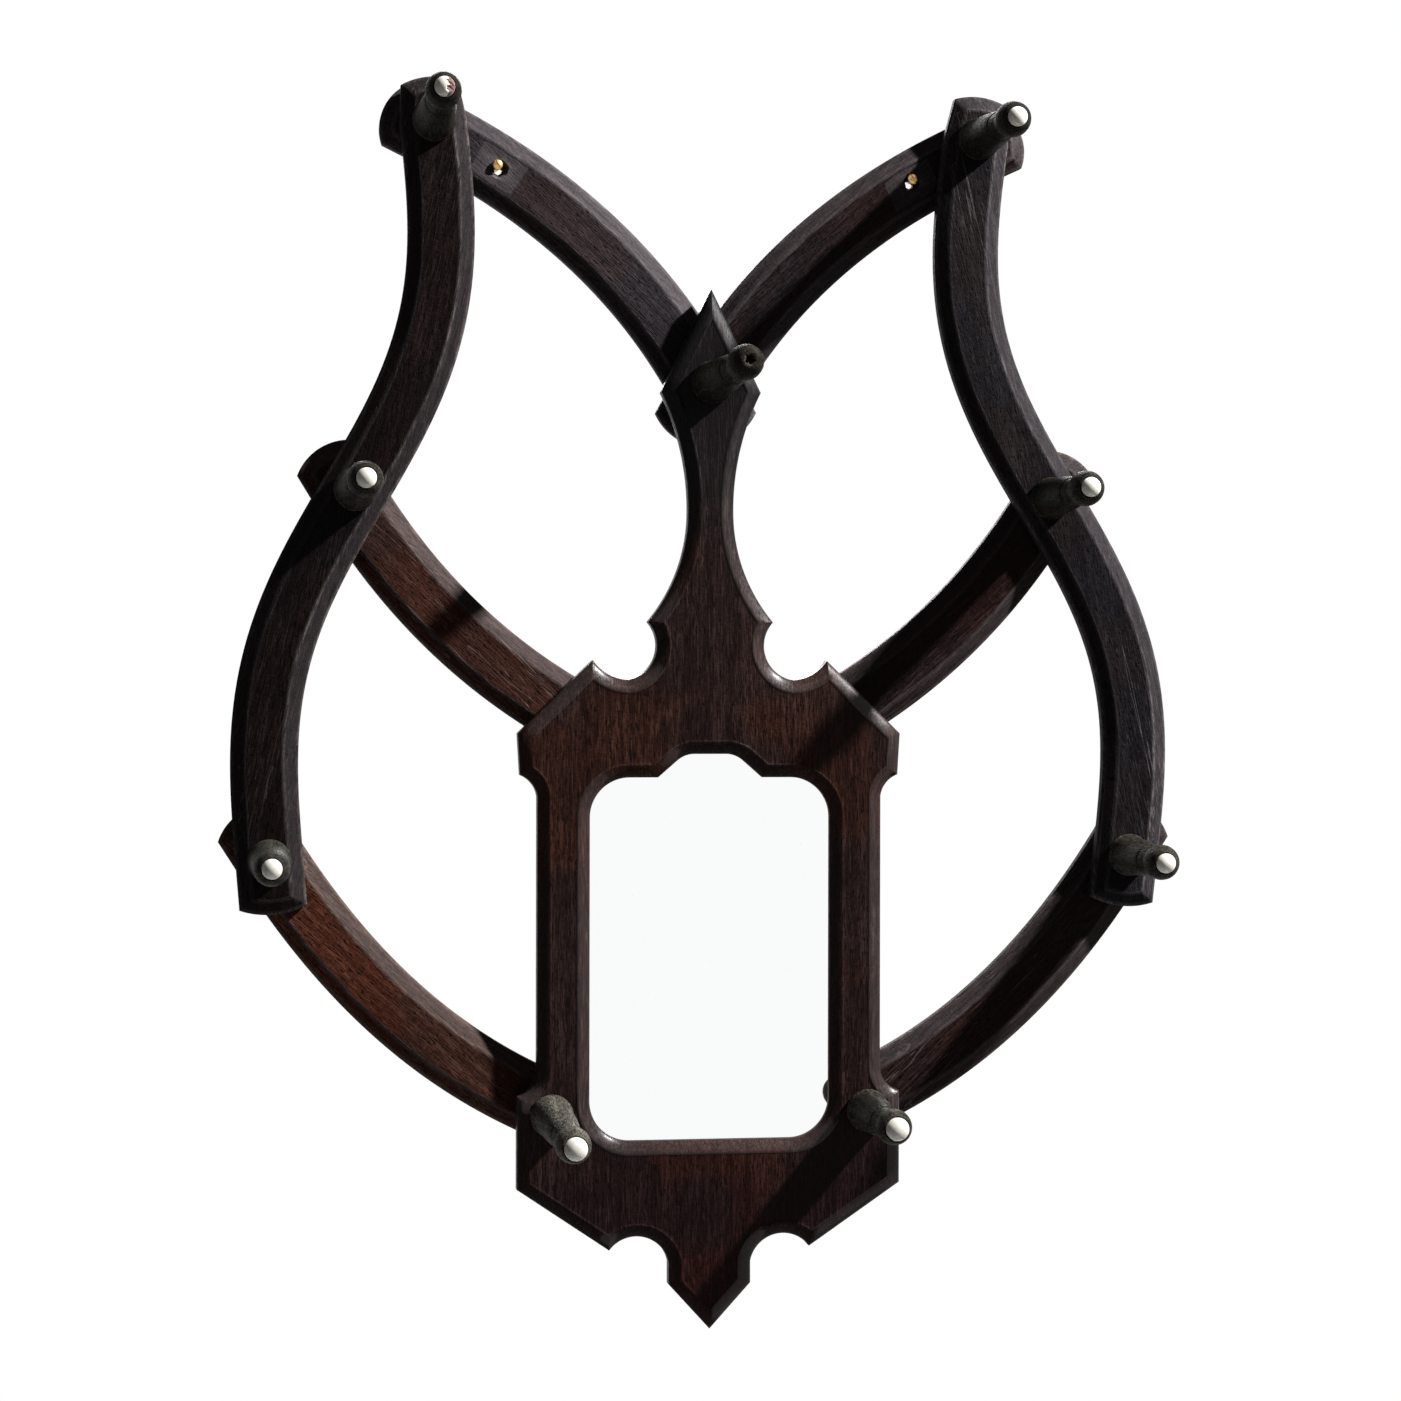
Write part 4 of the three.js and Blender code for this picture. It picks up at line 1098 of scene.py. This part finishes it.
board()
add_peg("top", "centre", (0, 0), BOARD_FRONT, 0, 0)
for number, (side, place) in enumerate(SIDES.items()):
    add_pivot_fixings(side, place["sign"], place["link_layer"])
    add_wing(side, place, 11 + 20 * number)
    for level in ("upper", "lower"):
        finish_node(f"{side}_{level}_sprig", STEEL)
finish_node("mirror_glass", MIRROR)
finish_node("mirror_backing", BACKING)


# Studio.

# Fill light of the room, then each lamp: degrees away from straight in front, degrees up from
# the right, size in metres and power; the lamps' distance and what they face.
FILL = 0.038
LAMPS = [("window", 72.5, 45, 0.1, 215.0), ("back_lamp", 152, 80, 1.4, 60.0)]
LAMP_DISTANCE = 2.4
LIT_POINT = (0, 0, -0.15)
FLOOR_LEVEL = -1.75
# The photo's camera: image width and focal length in pixels, sensor in millimetres, place in
# metres and turns in radians, in this order.
IMAGE_WIDTH = 1401
FOCAL_PIXELS = 3159.85
SENSOR_WIDTH = 36
CAMERA_PLACE = (-0.24236, -1.57305, -0.15213)
CAMERA_TURNS = (("Z", -0.1523), ("X", -0.0032), ("Y", -0.0019))


def add_room():
    """White to the camera and in reflections, dim for the fill."""
    n = Nodes("studio", world=True)
    rays = n.add("ShaderNodeLightPath")
    white = rays.outputs["Is Camera Ray"]
    for kind in ("Is Glossy Ray", "Is Transmission Ray"):
        white = n.math("MAXIMUM", white, rays.outputs[kind])
    level = n.fill(n.add("ShaderNodeMapRange"), Value=white, To_Min=FILL, To_Max=1.0)
    bpy.context.scene.world = n.finish(Strength=level, Color=(1, 1, 1, 1))


def add_lamp(name, tilt, turn, size, power):
    tilt, turn = np.radians(tilt), np.radians(turn)
    side = np.sin(tilt)
    direction = Vector((side * np.cos(turn), -np.cos(tilt), side * np.sin(turn)))
    lamp = bpy.data.lights.new(name, "AREA")
    lamp.shape = "DISK"
    lamp.size = size
    lamp.energy = power
    lamp_object = linked(name, lamp)
    lamp_object.location = Vector(LIT_POINT) + LAMP_DISTANCE * direction
    lamp_object.rotation_euler = direction.to_track_quat("Z", "Y").to_euler()
    lamp_object.visible_camera = False


def add_floor():
    corners = [(x, y, FLOOR_LEVEL) for x, y in ((-1, -1), (1, -1), (1, 1), (-1, 1))]
    mesh = bpy.data.meshes.new("floor")
    mesh.from_pydata(corners, [], [(0, 1, 2, 3)])
    pale = Nodes("pale_floor").finish(Base_Color=(0.85, 0.85, 0.84, 1), Roughness=0.9)
    mesh.materials.append(pale)
    floor = linked("floor", mesh)


def add_camera():
    camera = bpy.data.cameras.new("camera")
    camera.lens = FOCAL_PIXELS / IMAGE_WIDTH * SENSOR_WIDTH
    camera.sensor_width = SENSOR_WIDTH
    camera_object = linked("camera", camera)
    turned_by = Matrix.Identity(3)
    for axis, angle in CAMERA_TURNS:
        turned_by = turned_by @ Matrix.Rotation(angle, 3, axis)
    right, forward, up = turned_by.transposed()
    axes = Matrix((right, up, -forward)).transposed()
    camera_object.matrix_world = Matrix.Translation(CAMERA_PLACE) @ axes.to_4x4()
    bpy.context.scene.camera = camera_object


bpy.context.scene.view_settings.view_transform = "Standard"
add_room()
for lamp_row in LAMPS:
    add_lamp(*lamp_row)
add_floor()
add_camera()
